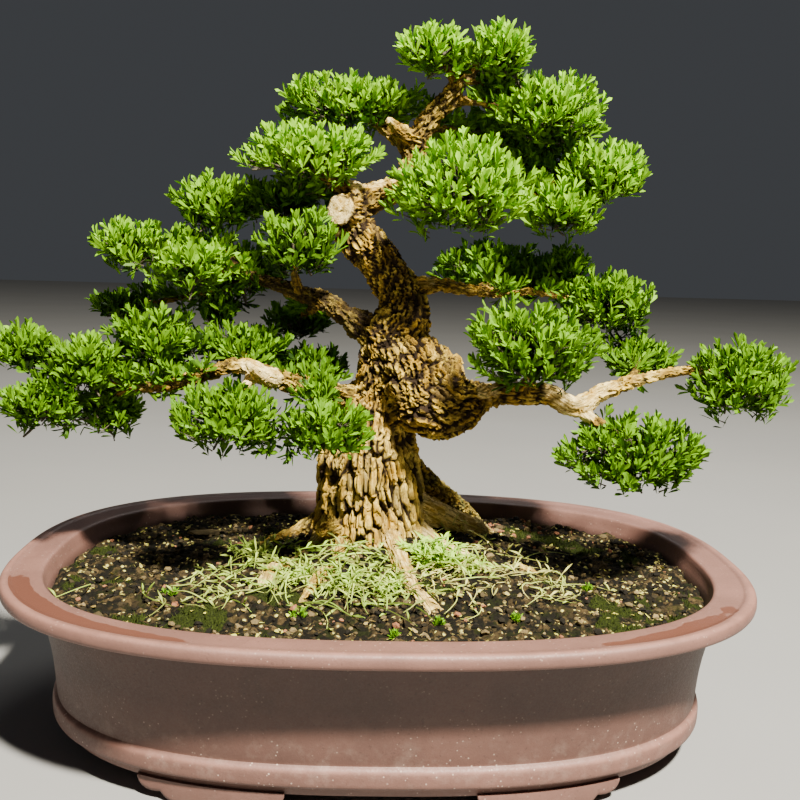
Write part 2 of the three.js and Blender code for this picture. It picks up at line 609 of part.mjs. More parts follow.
// A crown that sits in a hole in the soil, with arching blades
function tuftCrown(x, y, clearance) {
  const height = CROWN_HEIGHT + clearance;
  const radius = CROWN_RADIUS + clearance;
  const crown = new THREE.CylinderGeometry(radius, radius - 0.8, height, 6);
  crown.rotateX(Math.PI / 2);
  crown.translate(x, y, soilHeight(x, y) - CROWN_DEPTH - clearance + height / 2);
  return solidFromGeometry(crown);
}

function makeTuft(x, y, spread, blades, woodClear, seed) {
  const random = seededRandom(seed);
  const root = new THREE.Vector3(x, y, soilHeight(x, y) + 0.5);
  let tuft = tuftCrown(x, y, 0);
  for (let index = 0; index < blades; index += 1) {
    const angle = (index / blades) * Math.PI * 2 + random() * 0.3;
    const reach = spread * (0.7 + 0.3 * random());
    const rise = 7 + 12 * random();
    const middle = new THREE.Vector3(
      x + Math.cos(angle) * reach * 0.5,
      y + Math.sin(angle) * reach * 0.5,
      root.z + rise,
    );
    const tip = new THREE.Vector3(x + Math.cos(angle) * reach, y + Math.sin(angle) * reach, 0);
    tip.z = Math.max(soilHeight(tip.x, tip.y) + 4, root.z + rise * 0.7);
    tuft = tuft.add(makeBlade(root, middle, tip, GRASS_WIDTH, GRASS_THICKNESS));
  }
  return largestBody(tuft.subtract(woodClear));
}

const bonsai = new THREE.Group();
const wood = makeWood(0);
const woodClear = makeWood(WOOD_CLEARANCE);
const crownHoles = TUFTS.map(([, x, y]) => tuftCrown(x, y, PIECE_GAP));

bonsai.add(meshFromSolid('pot', makePot(), finishes.clay));
bonsai.add(meshFromSolid('soil', makeSoil(woodClear, crownHoles), finishes.earth));
bonsai.add(meshFromSolid('tree_wood', wood, finishes.bark));
for (const [side, signX] of [['left', -1], ['right', 1]]) {
  bonsai.add(meshFromSolid(`drain_screen_${side}`, makeScreen(signX), finishes.plastic));
  bonsai.add(meshFromSolid(`screen_clip_${side}`, makeClip(signX), finishes.wire));
}

const pads = PADS.map(([name, x, y, z, halfX, halfY, halfZ, leaves]) => ({
  name,
  centre: new THREE.Vector3(x, y, z),
  half: new THREE.Vector3(halfX, halfY, halfZ),
  leaves,
}));
pads.forEach((pad, index) => {
  const spray = makePad(pad, pads, woodClear, 100 + index);
  bonsai.add(meshFromSolid(`foliage_${pad.name}`, spray, finishes.foliage));
});
TUFTS.forEach(([name, x, y, spread, blades], index) => {
  const tuft = makeTuft(x, y, spread, blades, woodClear, 300 + index);
  bonsai.add(meshFromSolid(name, tuft, finishes.grass));
});

export default bonsai;
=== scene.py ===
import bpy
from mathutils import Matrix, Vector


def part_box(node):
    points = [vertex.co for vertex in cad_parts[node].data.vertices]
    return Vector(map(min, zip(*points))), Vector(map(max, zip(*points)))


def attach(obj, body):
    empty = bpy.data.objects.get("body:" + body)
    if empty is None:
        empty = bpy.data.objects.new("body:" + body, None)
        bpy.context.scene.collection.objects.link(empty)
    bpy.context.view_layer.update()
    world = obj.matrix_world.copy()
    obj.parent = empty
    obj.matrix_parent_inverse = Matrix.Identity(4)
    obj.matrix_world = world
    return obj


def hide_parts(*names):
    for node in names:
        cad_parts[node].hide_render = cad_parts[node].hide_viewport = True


bl_info = {
    "name": "Boxwood bonsai in an oval pot",
    "version": (1, 0, 0),
    "blender": (4, 5, 0),
    "location": "View3D > Sidebar > Bonsai",
    "description": "Bark, leaves, soil and fired clay on the solids of a potted boxwood bonsai",
    "category": "Object",
}

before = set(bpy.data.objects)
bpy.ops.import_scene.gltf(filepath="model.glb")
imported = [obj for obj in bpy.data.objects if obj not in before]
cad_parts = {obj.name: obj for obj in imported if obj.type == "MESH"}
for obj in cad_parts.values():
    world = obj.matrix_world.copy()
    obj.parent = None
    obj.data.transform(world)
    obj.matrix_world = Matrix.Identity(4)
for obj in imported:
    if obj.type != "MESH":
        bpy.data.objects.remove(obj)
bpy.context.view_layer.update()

import math
from itertools import combinations, product

import bmesh
import bpy
import numpy as np
from bpy.props import FloatProperty, FloatVectorProperty, IntProperty, PointerProperty
from mathutils import Matrix

BODY = "root"

# Lengths in this file are in millimetres until a mesh is made
MM = 0.001
UP = np.array([0.0, 0.0, 1.0])

# The pot's oval and the soil in it, as in the solids
POT_HALF = np.array([280.0, 222.0])
OVAL_POWER = 2.58
SOIL_EDGE_INSET = 34.3
SOIL_EDGE_HEIGHT = 109.0
SOIL_MOUND_HEIGHT = 32.0
SOIL_MOUND_CENTRE = np.array([0.0, 22.0])
SOIL_MOUND_REACH = np.array([112.0, 98.0])

# Woody limbs, as in the solids: each is a list of (x, y, z, radius) from root end to tip
TRUNKS = {
    "lower": [
        (-8, 25, 92, 46), (-8, 25, 108, 50), (-8, 25, 135, 47), (-9, 20, 166, 42.5),
        (-12, 12, 197, 40.5), (-11, 6, 217, 35), (-9, 0, 237, 29), (-6, -5, 250, 23),
    ],
    "middle": [
        (-3, 0, 237, 24), (-1, -5, 254, 23), (2, -8, 274, 23), (5, -8, 291, 24.5),
        (12, -6, 310, 20.5), (9, -4, 329, 17), (-3, -1, 348, 15.5), (-19, 1, 366, 17.5),
        (-28, 2, 377, 15),
    ],
    "upper": [
        (-24, 1, 371, 14), (-29, 3, 382, 14.5), (-25, 4, 392, 12), (-12, 6, 400, 11.5),
        (3, 9, 405, 10.5), (14, 11, 416, 10), (18, 11, 431, 9), (21, 10, 445, 8.5),
        (28, 9, 458, 8), (37, 7, 471, 7), (48, 4, 483, 6.5), (59, 2, 495, 5), (70, 1, 506, 3.5),
    ],
    "shoulder": [
        (-1, -10, 289, 22), (17, -14, 274, 29), (36, -18, 253, 33), (53, -21, 248, 25),
        (66, -24, 250, 15), (77, -26, 254, 10), (92, -28, 257, 8.5),
    ],
}
BRANCHES = {
    "right_bough": [
        (85, -28, 257, 9), (104, -30, 257, 9), (121, -34, 257, 8.5), (141, -38, 249, 9),
        (159, -38, 259, 6.7), (189, -40, 271, 4.9), (225, -46, 279, 3.8), (252, -50, 276, 2.6),
    ],
    "right_low_twig": [(141, -38, 249, 6), (159, -45, 237, 4.4), (178, -50, 227, 3)],
    "right_front_twig": [(101, -28, 257, 6), (103, -50, 270, 4), (102, -66, 284, 2.6)],
    "right_small_twig": [(180, -39, 268, 4.5), (190, -20, 276, 3.2), (197, -2, 281, 2.4)],
    "right_middle": [
        (10, -6, 326, 10), (24, -4, 334, 8), (42, 1, 335, 6), (64, 6, 332, 4.8),
        (83, 12, 330, 4.4), (121, 22, 331, 3.4), (152, 22, 325, 2.5),
    ],
    "right_back_twig": [(70, 8, 332, 4), (82, 30, 338, 3.2), (90, 48, 345, 2.4)],
    "left_middle": [
        (0, -8, 294, 15), (-14, -6, 301, 12), (-32, 2, 311, 8.6), (-53, 10, 322, 7.4),
        (-77, 16, 329, 6.2), (-97, 20, 336, 5.1), (-118, 20, 346, 4), (-141, 18, 354, 3.2),
        (-175, 10, 358, 2.3),
    ],
    "left_middle_top_twig": [(-118, 20, 346, 3.6), (-132, 24, 366, 2.9), (-137, 27, 390, 2.3)],
    "left_middle_low_twig": [(-112, 20, 343, 3.6), (-128, 4, 342, 2.9), (-142, -10, 343, 2.3)],
    "left_inner_twig": [(-66, 13, 325, 5), (-70, -4, 338, 3.6), (-68, -18, 352, 2.5)],
    "left_back_twig": [(-50, 9, 320, 5), (-60, 32, 312, 4), (-68, 50, 306, 2.6)],
    "left_far_back_twig": [(-100, 21, 336, 4), (-145, 38, 322, 3.2), (-196, 50, 312, 2.3)],
    "left_low": [
        (-4, -2, 244, 16), (-26, -13, 249, 9.5), (-48, -20, 254, 8.2), (-68, -26, 259, 7.8),
        (-88, -30, 266, 8.2), (-108, -32, 273, 6.2), (-134, -30, 266, 5.4), (-160, -28, 257, 5.2),
        (-186, -26, 256, 4.5), (-219, -28, 267, 3.6), (-262, -17, 277, 2.4),
    ],
    "left_low_top_twig": [(-160, -28, 257, 4.4), (-168, -18, 272, 3.4), (-174, -10, 284, 2.5)],
    "left_low_inner_twig": [(-100, -31, 270, 5), (-106, -16, 276, 3.6), (-108, -4, 281, 2.6)],
    "left_low_end_twig": [(-216, -28, 265, 3.6), (-234, -36, 255, 2.9), (-248, -40, 249, 2.2)],
    "left_low_hanging_twig": [(-190, -26, 255, 4), (-202, -18, 247, 3), (-208, -10, 241, 2.2)],
    "left_low_front_twig": [(-96, -31, 268, 5.5), (-104, -46, 258, 4), (-111, -56, 247, 2.8)],
    "left_front_twig": [(-52, -22, 255, 6), (-50, -44, 250, 4.6), (-43, -62, 242, 3)],
    "left_low_back_twig": [(-44, -18, 253, 5.5), (-50, 2, 260, 4), (-54, 14, 265, 2.8)],
    "top_left": [(-18, 5, 398, 10), (-34, 2, 407, 7.2), (-48, -4, 414, 5.4), (-60, -11, 423, 3.6)],
    "top_left_back": [(17, 11, 434, 8), (3, 14, 446, 5.4), (-12, 18, 457, 4.2), (-26, 23, 468, 3)],
    "front_bough": [(-4, 8, 403, 9), (9, -18, 404, 6.4), (24, -42, 402, 4.8), (38, -56, 401, 3.2)],
    "top_right": [(34, 8, 466, 5.5), (58, 8, 474, 4), (84, 12, 470, 3.2), (104, 14, 467, 2.4)],
    "top_back_twig": [(26, 9, 454, 6), (40, 24, 455, 4), (54, 37, 456, 2.8)],
    "top_far_right": [
        (2, 9, 405, 9), (30, 16, 404, 7.2), (60, 21, 406, 6), (90, 23, 410, 5.1),
        (122, 20, 414, 4.3), (148, 14, 419, 3),
    ],
    "top_right_front_twig": [(96, 23, 411, 4.6), (112, 12, 405, 3.6), (124, 0, 400, 2.6)],
    "apex_left_twig": [(50, 4, 485, 5.6), (42, -2, 494, 3.8), (35, -6, 502, 2.6)],
    "apex_low_twig": [(54, 3, 490, 5), (64, 12, 489, 3.6), (73, 20, 488, 2.6)],
    "top_gap_twig": [(92, 23, 410, 4.6), (99, 27, 424, 3.6), (105, 29, 437, 2.5)],
    "top_left_under_twig": [(-36, 1, 408, 6.2), (-52, 8, 402, 4), (-68, 10, 400, 2.6)],
    "right_joint_twig": [(118, 22, 331, 3.6), (130, 32, 343, 3), (140, 38, 353, 2.3)],
}
STUBS = {
    "cut_stump": [(-25, 2, 389, 12.5), (-33, -10, 389, 12.4), (-37, -19, 389, 12.2)],
    "dead_peg": [(-24, 0, 374, 9), (-38, -6, 374, 4.4), (-50, -10, 373, 2.6)],
    "dead_spur": [(22, 9, 442, 7.5), (6, 2, 450, 5.4), (-3, -3, 457, 3.4)],
    "dead_knuckle": [(-84, -32, 264, 9), (-94, -44, 270, 5.6), (-101, -50, 277, 3)],
}
ROOTS = {
    "front_fork": [
        (4, 4, 146, 9), (10, -30, 136, 7.5), (15, -54, 129, 7.5), (22, -78, 120, 5.6),
        (31, -102, 113, 4), (37, -121, 108, 2.4),
    ],
    "front_fork_side": [(22, -78, 119, 4.6), (34, -94, 115, 3.4), (47, -115, 109, 2.2)],
    "left_front": [
        (-26, -4, 138, 9), (-36, -44, 125, 4.6), (-46, -66, 122, 5.4), (-58, -90, 110, 3.4),
    ],
    "left_stump": [(-44, 6, 134, 9), (-66, -26, 122, 4.6), (-80, -50, 121, 8), (-88, -68, 108, 6)],
    "right_thin": [
        (26, 10, 146, 7), (48, -6, 133, 4.6), (68, -18, 126, 4), (84, -40, 117, 3),
        (94, -58, 108, 2),
    ],
    "right_thick": [
        (22, 18, 160, 15), (42, 26, 150, 12), (60, 40, 139, 11.4), (80, 58, 129, 10),
        (96, 76, 117, 6.5), (106, 90, 105, 3.5),
    ],
    "back_right": [
        (16, 30, 186, 16), (46, 50, 165, 9), (70, 84, 142, 7), (88, 118, 122, 5), (96, 134, 106, 3),
    ],
    "right_far": [
        (24, 18, 100, 11), (84, -6, 106, 5), (106, -10, 117, 4), (124, -28, 113, 3),
        (136, -52, 104, 2),
    ],
    "back_left": [(-20, 40, 150, 17), (-44, 70, 132, 10), (-66, 98, 117, 7), (-84, 118, 100, 4)],
    "left": [(-36, 26, 145, 15), (-66, 30, 130, 8), (-92, 26, 120, 6), (-118, 18, 104, 3.5)],
    "knob": [(-34, -6, 146, 10), (-43, -20, 147, 5.6), (-48, -27, 146, 3.8)],
}

# How far beyond its last knot a limb's end stands out, over its radius, where it isn't 0.5
CUT_TIPS = {"cut_stump": 0.08}

BURIED = {
    "stem": [(-8, 25, 66, 38), (-8, 25, 96, 45)],
    "deep_left": [(-20, 25, 90, 20), (-60, 10, 66, 11), (-110, -8, 52, 5)],
    "deep_right": [(4, 25, 90, 20), (44, 36, 64, 11), (98, 48, 50, 5)],
}

# How each limb's bark looks: plate length over width, twist in radians a millimetre, paleness
# from -1 for dark bark to 1 for bare wood, and how green it is. Below 0 the darkness is partly
# painted shade from the pads above the limbs
BARK_STYLES = {
    # The lower trunk's paleness is partly painted light, so the base reads sunlit
    "lower": (5.0, 0.0, 0.28, 0.06),
    "middle": (4.2, 0.03, -0.2, 0.0),
    "shoulder": (2.9, 0.018, -0.35, 0.0),
    "upper": (4.2, 0.03, -0.45, 0.0),
    "right_bough": (4.5, 0.01, 0.05, 0.0),
    "right_middle": (4.5, 0.02, -0.1, 0.0),
    # left_middle's darkness is painted shade from the pads above it
    "left_middle": (6.5, 0.02, -0.7, 0.0),
    "cut_stump": (5.0, 0.0, -0.2, 0.0),
    "dead_peg": (6.0, 0.0, 0.8, 0.0),
    "dead_spur": (6.0, 0.0, 0.0, 0.0),
    "dead_knuckle": (5.0, 0.0, 0.9, 0.0),
    "front_fork": (7.0, 0.0, 0.6, 0.0),
    "front_fork_side": (7.0, 0.0, 0.75, 0.0),
    "left_front": (6.0, 0.0, 0.3, 0.2),
    "left_stump": (5.0, 0.0, 0.6, 0.2),
    "right_thin": (8.0, 0.0, 1.0, 0.0),
    # right_thick's near-bare paleness is partly painted light on a root that lies in shade
    "right_thick": (4.5, 0.0, 0.95, 0.0),
    "back_right": (4.0, 0.0, -0.1, 0.7),
    "right_far": (7.0, 0.0, 0.3, 0.1),
    "knob": (3.0, 0.0, 0.2, 0.1),
}
# Boughs not listed above: darker bark with painted shade from the pads above
BRANCH_STYLE = (5.5, 0.02, -0.4, 0.0)
ROOT_STYLE = (5.0, 0.0, 0.2, 0.3)

# Places on the wood where bark is gone: (x, y, z, radius, paleness)
BARE_PATCHES = [
    (-41, -24, 390, 13, 1.0), (-26, 0, 409, 8, 0.9), (-12, -1, 415, 9, 1.0), (4, 0, 419, 8, 0.9),
    (-6, -6, 460, 8, 0.8), (-50, -8, 374, 12, 0.7), (-98, -44, 272, 14, 1.0),
    (-84, -38, 268, 8, 0.8), (141, -44, 253, 17, 0.9), (124, -40, 262, 9, 0.8),
    (163, -42, 264, 10, 0.6), (194, -44, 274, 13, 0.3), (240, -50, 281, 12, 0.6),
    (30, -6, 339, 7, 0.4), (76, -34, 262, 10, 0.7),
]

# Sawn faces on the wood: (x, y, z, radius)
CUT_FACES = [(-38, -22, 389, 12.5)]

# Where each kind of growth starts its random draws
SEEDS = {
    "limbs": 40, "pads": 500, "sprays": 440, "joining": 610, "grains": 71, "grass": 900,
    "herb": 951, "tangle": 977, "moss": 83, "litter": 97, "seedlings": 131,
}

# A three-sided spike: its base corners are 0 to 2 and its tip is 3
SPIKE_FACES = [[0, 1, 3], [1, 2, 3], [2, 0, 3], [2, 1, 0]]


# Repeatable patterns in space

def smooth_step(value):
    value = np.clip(value, 0.0, 1.0)
    return value * value * (3.0 - 2.0 * value)


def hashed(cells, salt):
    """A repeatable random number from 0 to 1 for each whole-numbered cell"""
    whole = cells.astype(np.int64) & 0xFFFFFFFF
    mixed = whole[..., 0] * 73856093 ^ whole[..., 1] * 19349663 ^ whole[..., 2] * 83492791
    mixed = (mixed ^ (salt * 2654435761)) & 0xFFFFFFFF
    for _ in range(2):
        mixed = ((mixed >> 16) ^ mixed) * 0x45D9F3B & 0xFFFFFFFF
    return ((mixed >> 16) ^ mixed) / 2.0**32


def noise(points, salt):
    """Smooth noise from -1 to 1, with bumps one unit wide"""
    base = np.floor(points)
    inside = smooth_step(points - base)
    total = np.zeros(len(points))
    for corner in product((0, 1), repeat=3):
        weight = np.prod(np.where(np.array(corner) == 1, inside, 1.0 - inside), axis=1)
        total += weight * hashed(base + np.array(corner), salt)
    return total * 2.0 - 1.0


def layered_noise(points, salt, layers=3):
    total = np.zeros(len(points))
    for layer in range(layers):
        total += noise(points * 2.0**layer, salt + layer) * 0.5**layer
    return total


def cell_pattern(points, salt):
    """For each point the way to the border between cells, the way to its own cell's middle and
    that cell's random number"""
    base = np.floor(points)
    nearest = np.full(len(points), 9.0)
    second = np.full(len(points), 9.0)
    tone = np.zeros(len(points))
    for shift in product((-1, 0, 1), repeat=3):
        cell = base + np.array(shift)
        jitter = np.stack([hashed(cell, salt + axis) for axis in range(3)], axis=1)
        distance = np.linalg.norm(points - (cell + 0.5 + 0.85 * (jitter - 0.5)), axis=1)
        closer = distance < nearest
        second = np.where(closer, nearest, np.minimum(second, distance))
        tone = np.where(closer, hashed(cell, salt + 7), tone)
        nearest = np.minimum(nearest, distance)
    return second - nearest, nearest, tone


def plate_pattern(around, along, turns, own, salt):
    """Squarish cells on the skin of a limb, which close up after some number of turns: the way
    to the border, the cell's two random numbers and the place in it round and along the limb"""
    column, row = np.floor(around), np.floor(along)
    nearest = np.full(len(around), 9.0)
    second = np.full(len(around), 9.0)
    found = [np.zeros(len(around)) for _ in range(4)]
    for across, up in product((-1, 0, 1), repeat=2):
        cell = np.stack([np.mod(column + across, turns), row + up, own], axis=1)
        middle_around = column + across + 0.5 + 0.55 * (hashed(cell, salt) - 0.5)
        middle_along = row + up + 0.5 + 0.95 * (hashed(cell, salt + 1) - 0.5)
        apart = (around - middle_around, along - middle_along)
        distance = (np.abs(apart[0]) ** 3.2 + np.abs(apart[1]) ** 3.2) ** (1 / 3.2)
        closer = distance < nearest
        second = np.where(closer, nearest, np.minimum(second, distance))
        facts = (hashed(cell, salt + 2), hashed(cell, salt + 3), *apart)
        found = [np.where(closer, new, old) for new, old in zip(facts, found)]
        nearest = np.minimum(nearest, distance)
    return second - nearest, *found


# Meshes

def make_piece(name, places, faces, finish, colours=None, vectors=None, crease=None):
    """A new mesh object from millimetre places, riding on the body"""
    mesh = bpy.data.meshes.new(name)
    mesh.from_pydata((np.asarray(places) * MM).tolist(), [], faces)
    for key, values in (colours or {}).items():
        layer = mesh.attributes.new(key, "FLOAT_COLOR", "POINT")
        layer.data.foreach_set("color", np.asarray(values, dtype=np.float32).ravel())
    for key, values in (vectors or {}).items():
        layer = mesh.attributes.new(key, "FLOAT_VECTOR", "POINT")
        layer.data.foreach_set("vector", np.asarray(values, dtype=np.float32).ravel())
    mesh.polygons.foreach_set("use_smooth", [True] * len(mesh.polygons))
    if crease is not None:
        mesh.set_sharp_from_angle(angle=math.radians(crease))
    mesh.materials.append(finish)
    piece = bpy.data.objects.new(name, mesh)
    bpy.context.scene.collection.objects.link(piece)
    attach(piece, BODY)
    return piece


class Batch:
    """Gathers many small closed shapes that become one mesh"""

    def __init__(self):
        self.places = []
        self.faces = []
        self.colours = []
        self.count = 0

    def add(self, places, faces, colour):
        self.faces.extend([[corner + self.count for corner in face] for face in faces])
        self.places.append(places)
        self.colours.append(np.tile(colour, (len(places), 1)))
        self.count += len(places)

    def add_array(self, places, faces, colours):
        """Adds many copies of one shape: places is (copies, points, 3)"""
        copies, points = places.shape[:2]
        starts = self.count + np.arange(copies) * points
        for face in faces:
            self.faces.extend((starts[:, None] + np.array(face)[None, :]).tolist())
        self.places.append(places.reshape(-1, 3))
        self.colours.append(colours.reshape(-1, 4))
        self.count += copies * points

    def make(self, name, finish, slot, layer, crease=None):
        colours = {layer: np.vstack(self.colours)}
        return make_piece(name, np.vstack(self.places), self.faces, finish, colours,
                          crease=crease)


def unit(vectors):
    return vectors / np.maximum(np.linalg.norm(vectors, axis=-1, keepdims=True), 1e-9)


def smooth_line(knots, spacing):
    """Points along a centripetal Catmull-Rom curve through the knots, with their radii"""
    knots = np.array(knots, dtype=float)
    places = knots[:, :3]
    padded = np.vstack([2 * places[0] - places[1], places, 2 * places[-1] - places[-2]])
    rows = []
    for span in range(len(knots) - 1):
        p0, p1, p2, p3 = padded[span:span + 4]
        pairs = ((p0, p1), (p1, p2), (p2, p3))
        d0, d1, d2 = (math.sqrt(max(np.linalg.norm(b - a), 1e-6)) for a, b in pairs)
        leave = ((p1 - p0) / d0 - (p2 - p0) / (d0 + d1) + (p2 - p1) / d1) * d1
        arrive = ((p2 - p1) / d1 - (p3 - p1) / (d1 + d2) + (p3 - p2) / d2) * d1
        steps = max(1, round(float(np.linalg.norm(p2 - p1)) / spacing))
        for step in range(steps):
            t = step / steps
            place = (
                (2 * t**3 - 3 * t**2 + 1) * p1 + (t**3 - 2 * t**2 + t) * leave
                + (3 * t**2 - 2 * t**3) * p2 + (t**3 - t**2) * arrive
            )
            radius = knots[span, 3] + (knots[span + 1, 3] - knots[span, 3]) * t
            rows.append([*place, radius])
    rows.append(knots[-1].tolist())
    return np.array(rows)


def line_frames(line):
    """Unit vectors along a line and across it, turning as little as they can"""
    tangents = unit(np.gradient(line[:, :3], axis=0))
    across = np.zeros_like(tangents)
    start = np.array([1.0, 0.0, 0.0]) if abs(tangents[0, 0]) < 0.9 else np.array([0.0, 1.0, 0.0])
    for index, tangent in enumerate(tangents):
        start = start - tangent * np.dot(start, tangent)
        start = start / np.linalg.norm(start)
        across[index] = start
    return tangents, across, np.cross(tangents, across)


def ring_faces(rings, sides):
    """Faces between closed rings of points that follow each other"""
    faces = []
    for ring in range(rings - 1):
        low = ring * sides
        for side in range(sides):
            step = (side + 1) % sides
            faces.append([low + side, low + step, low + sides + step, low + sides + side])
    return faces


def tube(line, sides, swell=None, tip=0.5):
    """A closed tube round a line of (x, y, z, radius) points"""
    tangents, across, over = line_frames(line)
    angles = np.arange(sides) * 2 * math.pi / sides
    reach = line[:, 3][:, None] * np.ones(sides)[None, :]
    if swell is not None:
        reach = reach * swell(line, angles)
    rings = (
        line[:, None, :3]
        + across[:, None, :] * (np.cos(angles)[None, :] * reach)[..., None]
        + over[:, None, :] * (np.sin(angles)[None, :] * reach)[..., None]
    )
    count = len(line)
    start = line[0, :3] - tangents[0] * line[0, 3] * 0.3
    end = line[-1, :3] + tangents[-1] * line[-1, 3] * tip
    places = np.vstack([rings.reshape(-1, 3), start, end])
    faces = ring_faces(count, sides)
    last = (count - 1) * sides
    for side in range(sides):
        step = (side + 1) % sides
        faces.append([step, side, count * sides])
        faces.append([last + side, last + step, count * sides + 1])
    return places, faces


# Materials

class Recipe:
    """A new material, with short calls for its nodes"""

    def __init__(self, name):
        self.material = bpy.data.materials.new(name)
        self.material.use_nodes = True
        self.tree = self.material.node_tree
        self.tree.nodes.clear()

    def add(self, kind, sockets=None, **settings):
        node = self.tree.nodes.new("ShaderNode" + kind)
        for key, value in settings.items():
            setattr(node, key, value)
        for key, value in (sockets or {}).items():
            if isinstance(value, bpy.types.NodeSocket):
                self.tree.links.new(value, node.inputs[key])
            else:
                node.inputs[key].default_value = value
        return node

    def place(self):
        return self.add("TexCoord").outputs["Object"]

    def layer(self, name):
        """The red, green, blue and alpha of a colour layer on the mesh"""
        source = self.add("Attribute", attribute_name=name)
        parts = self.add("SeparateColor", {"Color": source.outputs["Color"]})
        return (*parts.outputs, source.outputs["Alpha"])

    def vector_layer(self, name):
        return self.add("Attribute", attribute_name=name).outputs["Vector"]

    def stretched(self, vector, scale):
        return self.add("Mapping", {"Vector": vector, "Scale": scale}).outputs["Vector"]

    def noise(self, vector, scale, detail=3.0, rough=0.5):
        sockets = {"Vector": vector, "Scale": scale, "Detail": detail, "Roughness": rough}
        return self.add("TexNoise", sockets).outputs["Fac"]

    def cells(self, vector, scale):
        return self.add("TexVoronoi", {"Vector": vector, "Scale": scale}, feature="F1")

    def sum(self, operation, first, second):
        return self.add("Math", {0: first, 1: second}, operation=operation).outputs[0]

    def band(self, value, low, high, to_low=0.0, to_high=1.0):
        """Value moved from the range low to high into another range, held at its ends"""
        sockets = {
            "Value": value, "From Min": low, "From Max": high, "To Min": to_low, "To Max": to_high,
        }
        return self.add("MapRange", sockets, interpolation_type="SMOOTHSTEP").outputs["Result"]

    def mix(self, factor, first, second, blend="MIX"):
        node = self.add("Mix", data_type="RGBA", blend_type=blend)
        for index, value in ((0, factor), (6, first), (7, second)):
            if isinstance(value, bpy.types.NodeSocket):
                self.tree.links.new(value, node.inputs[index])
            elif index == 0:
                node.inputs[index].default_value = value
            else:
                node.inputs[index].default_value = (*value[:3], 1.0)
        return node.outputs[2]

    def bump(self, height, strength, distance):
        sockets = {"Height": height, "Strength": strength, "Distance": distance}
        return self.add("Bump", sockets).outputs["Normal"]

    def finish(self, colour, roughness, normal=None, **constants):
        sockets = {"Base Color": colour, "Roughness": roughness}
        if normal is not None:
            sockets["Normal"] = normal
        shader = self.add("BsdfPrincipled", sockets)
        for key, value in constants.items():
            shader.inputs[key.replace("_", " ")].default_value = value
        self.add("OutputMaterial", {"Surface": shader.outputs["BSDF"]})
        return self.material


def tinted(colour, factor):
    return tuple(min(1.0, part * factor) for part in colour[:3])


# Properties

class PotLooks(bpy.types.PropertyGroup):
    """Sizes and colours of the clay pot"""

    sectors: IntProperty(
        name="Sectors", description="Steps round the oval", default=208, min=48, max=400)
    clay: FloatVectorProperty(
        name="Clay", description="Dry fired clay", subtype="COLOR", default=(0.150, 0.072, 0.055))
    clay_wet: FloatVectorProperty(
        name="Wet clay", description="Clay in the wet streaks on the lip", subtype="COLOR",
        default=(0.100, 0.038, 0.024))
    mineral: FloatVectorProperty(
        name="Mineral", description="Pale specks and scale", subtype="COLOR",
        default=(0.42, 0.31, 0.25))


class WoodLooks(bpy.types.PropertyGroup):
    """Sizes and colours of the trunk, boughs and roots"""

    grain: FloatProperty(
        name="Grain", description="Width of the mesh cells that the bark is carved in, in mm",
        default=1.2, min=0.9, max=4.0)
    triangles: IntProperty(
        name="Triangles", description="Triangles that the carved wood is thinned to",
        default=166000, min=20000, max=400000)
    plate: FloatVectorProperty(
        name="Bark plates", description="Most faces of the corky plates", subtype="COLOR",
        default=(0.53, 0.30, 0.016))
    plate_pale: FloatVectorProperty(
        name="Worn plates", description="Sun-bleached faces", subtype="COLOR",
        default=(0.94, 0.67, 0.11))
    plate_dark: FloatVectorProperty(
        name="Dark plates", description="Weathered plates", subtype="COLOR",
        default=(0.12, 0.075, 0.018))
    # Painted shade: the near-black crevice colour stands for the crevices' shadow as well as the
    # darker bark deep in them
    crack_and_shade: FloatVectorProperty(
        name="Cracks", description="Depths between the plates", subtype="COLOR",
        default=(0.018, 0.010, 0.004))
    deadwood: FloatVectorProperty(
        name="Deadwood", description="Bare wood at cuts and pale roots", subtype="COLOR",
        default=(0.92, 0.71, 0.29))
    moss: FloatVectorProperty(
        name="Moss", description="Green film on shaded bark", subtype="COLOR",
        default=(0.11, 0.13, 0.035))


class LeafLooks(bpy.types.PropertyGroup):
    """Sizes and colours of the leaves"""

    length: FloatProperty(
        name="Length", description="Leaf length in mm", default=10.8, min=4.0, max=30.0)
    width: FloatProperty(
        name="Width", description="Leaf width in mm", default=3.3, min=1.0, max=12.0)
    shoot_spacing: FloatProperty(
        name="Shoot spacing", description="Way between neighbouring shoots, in mm",
        default=10.35, min=6.0, max=40.0)
    # Painted light: leaves move towards this colour as their tone rises, which is higher on high
    # leaves and high pads; the mottle also mixes it in at random
    sunlit: FloatVectorProperty(
        name="Young leaves", description="Outer leaves", subtype="COLOR",
        default=(0.275, 0.57, 0.003))
    mature: FloatVectorProperty(
        name="Mature leaves", description="Most leaves", subtype="COLOR",
        default=(0.085, 0.22, 0.005))
    # Painted shade: leaves deep in a pad or low on it are mixed towards this near-black colour
    inner: FloatVectorProperty(
        name="Inner leaves", description="Leaves deep in a pad", subtype="COLOR",
        default=(0.005, 0.018, 0.002))
    stem: FloatVectorProperty(
        name="Stems", description="Young twigs", subtype="COLOR", default=(0.05, 0.04, 0.02))


class GroundLooks(bpy.types.PropertyGroup):
    """Sizes and colours of the soil and of what grows and lies on it"""

    cells: IntProperty(
        name="Cells", description="Cells of the soil's surface along the pot", default=186,
        min=40, max=400)
    grains: IntProperty(name="Grains", description="Loose grains", default=2300, min=0, max=6000)
    soil: FloatVectorProperty(
        name="Soil", description="Damp dark grit", subtype="COLOR", default=(0.006, 0.005, 0.003))
    soil_pale: FloatVectorProperty(
        name="Pale soil", description="Dry crumbs", subtype="COLOR", default=(0.085, 0.056, 0.022))
    moss: FloatVectorProperty(
        name="Moss", description="Moss cushions", subtype="COLOR", default=(0.019, 0.026, 0.003))
    grass: FloatVectorProperty(
        name="Grass", description="Pale tangled grass", subtype="COLOR",
        default=(0.27, 0.44, 0.035))


# The pot

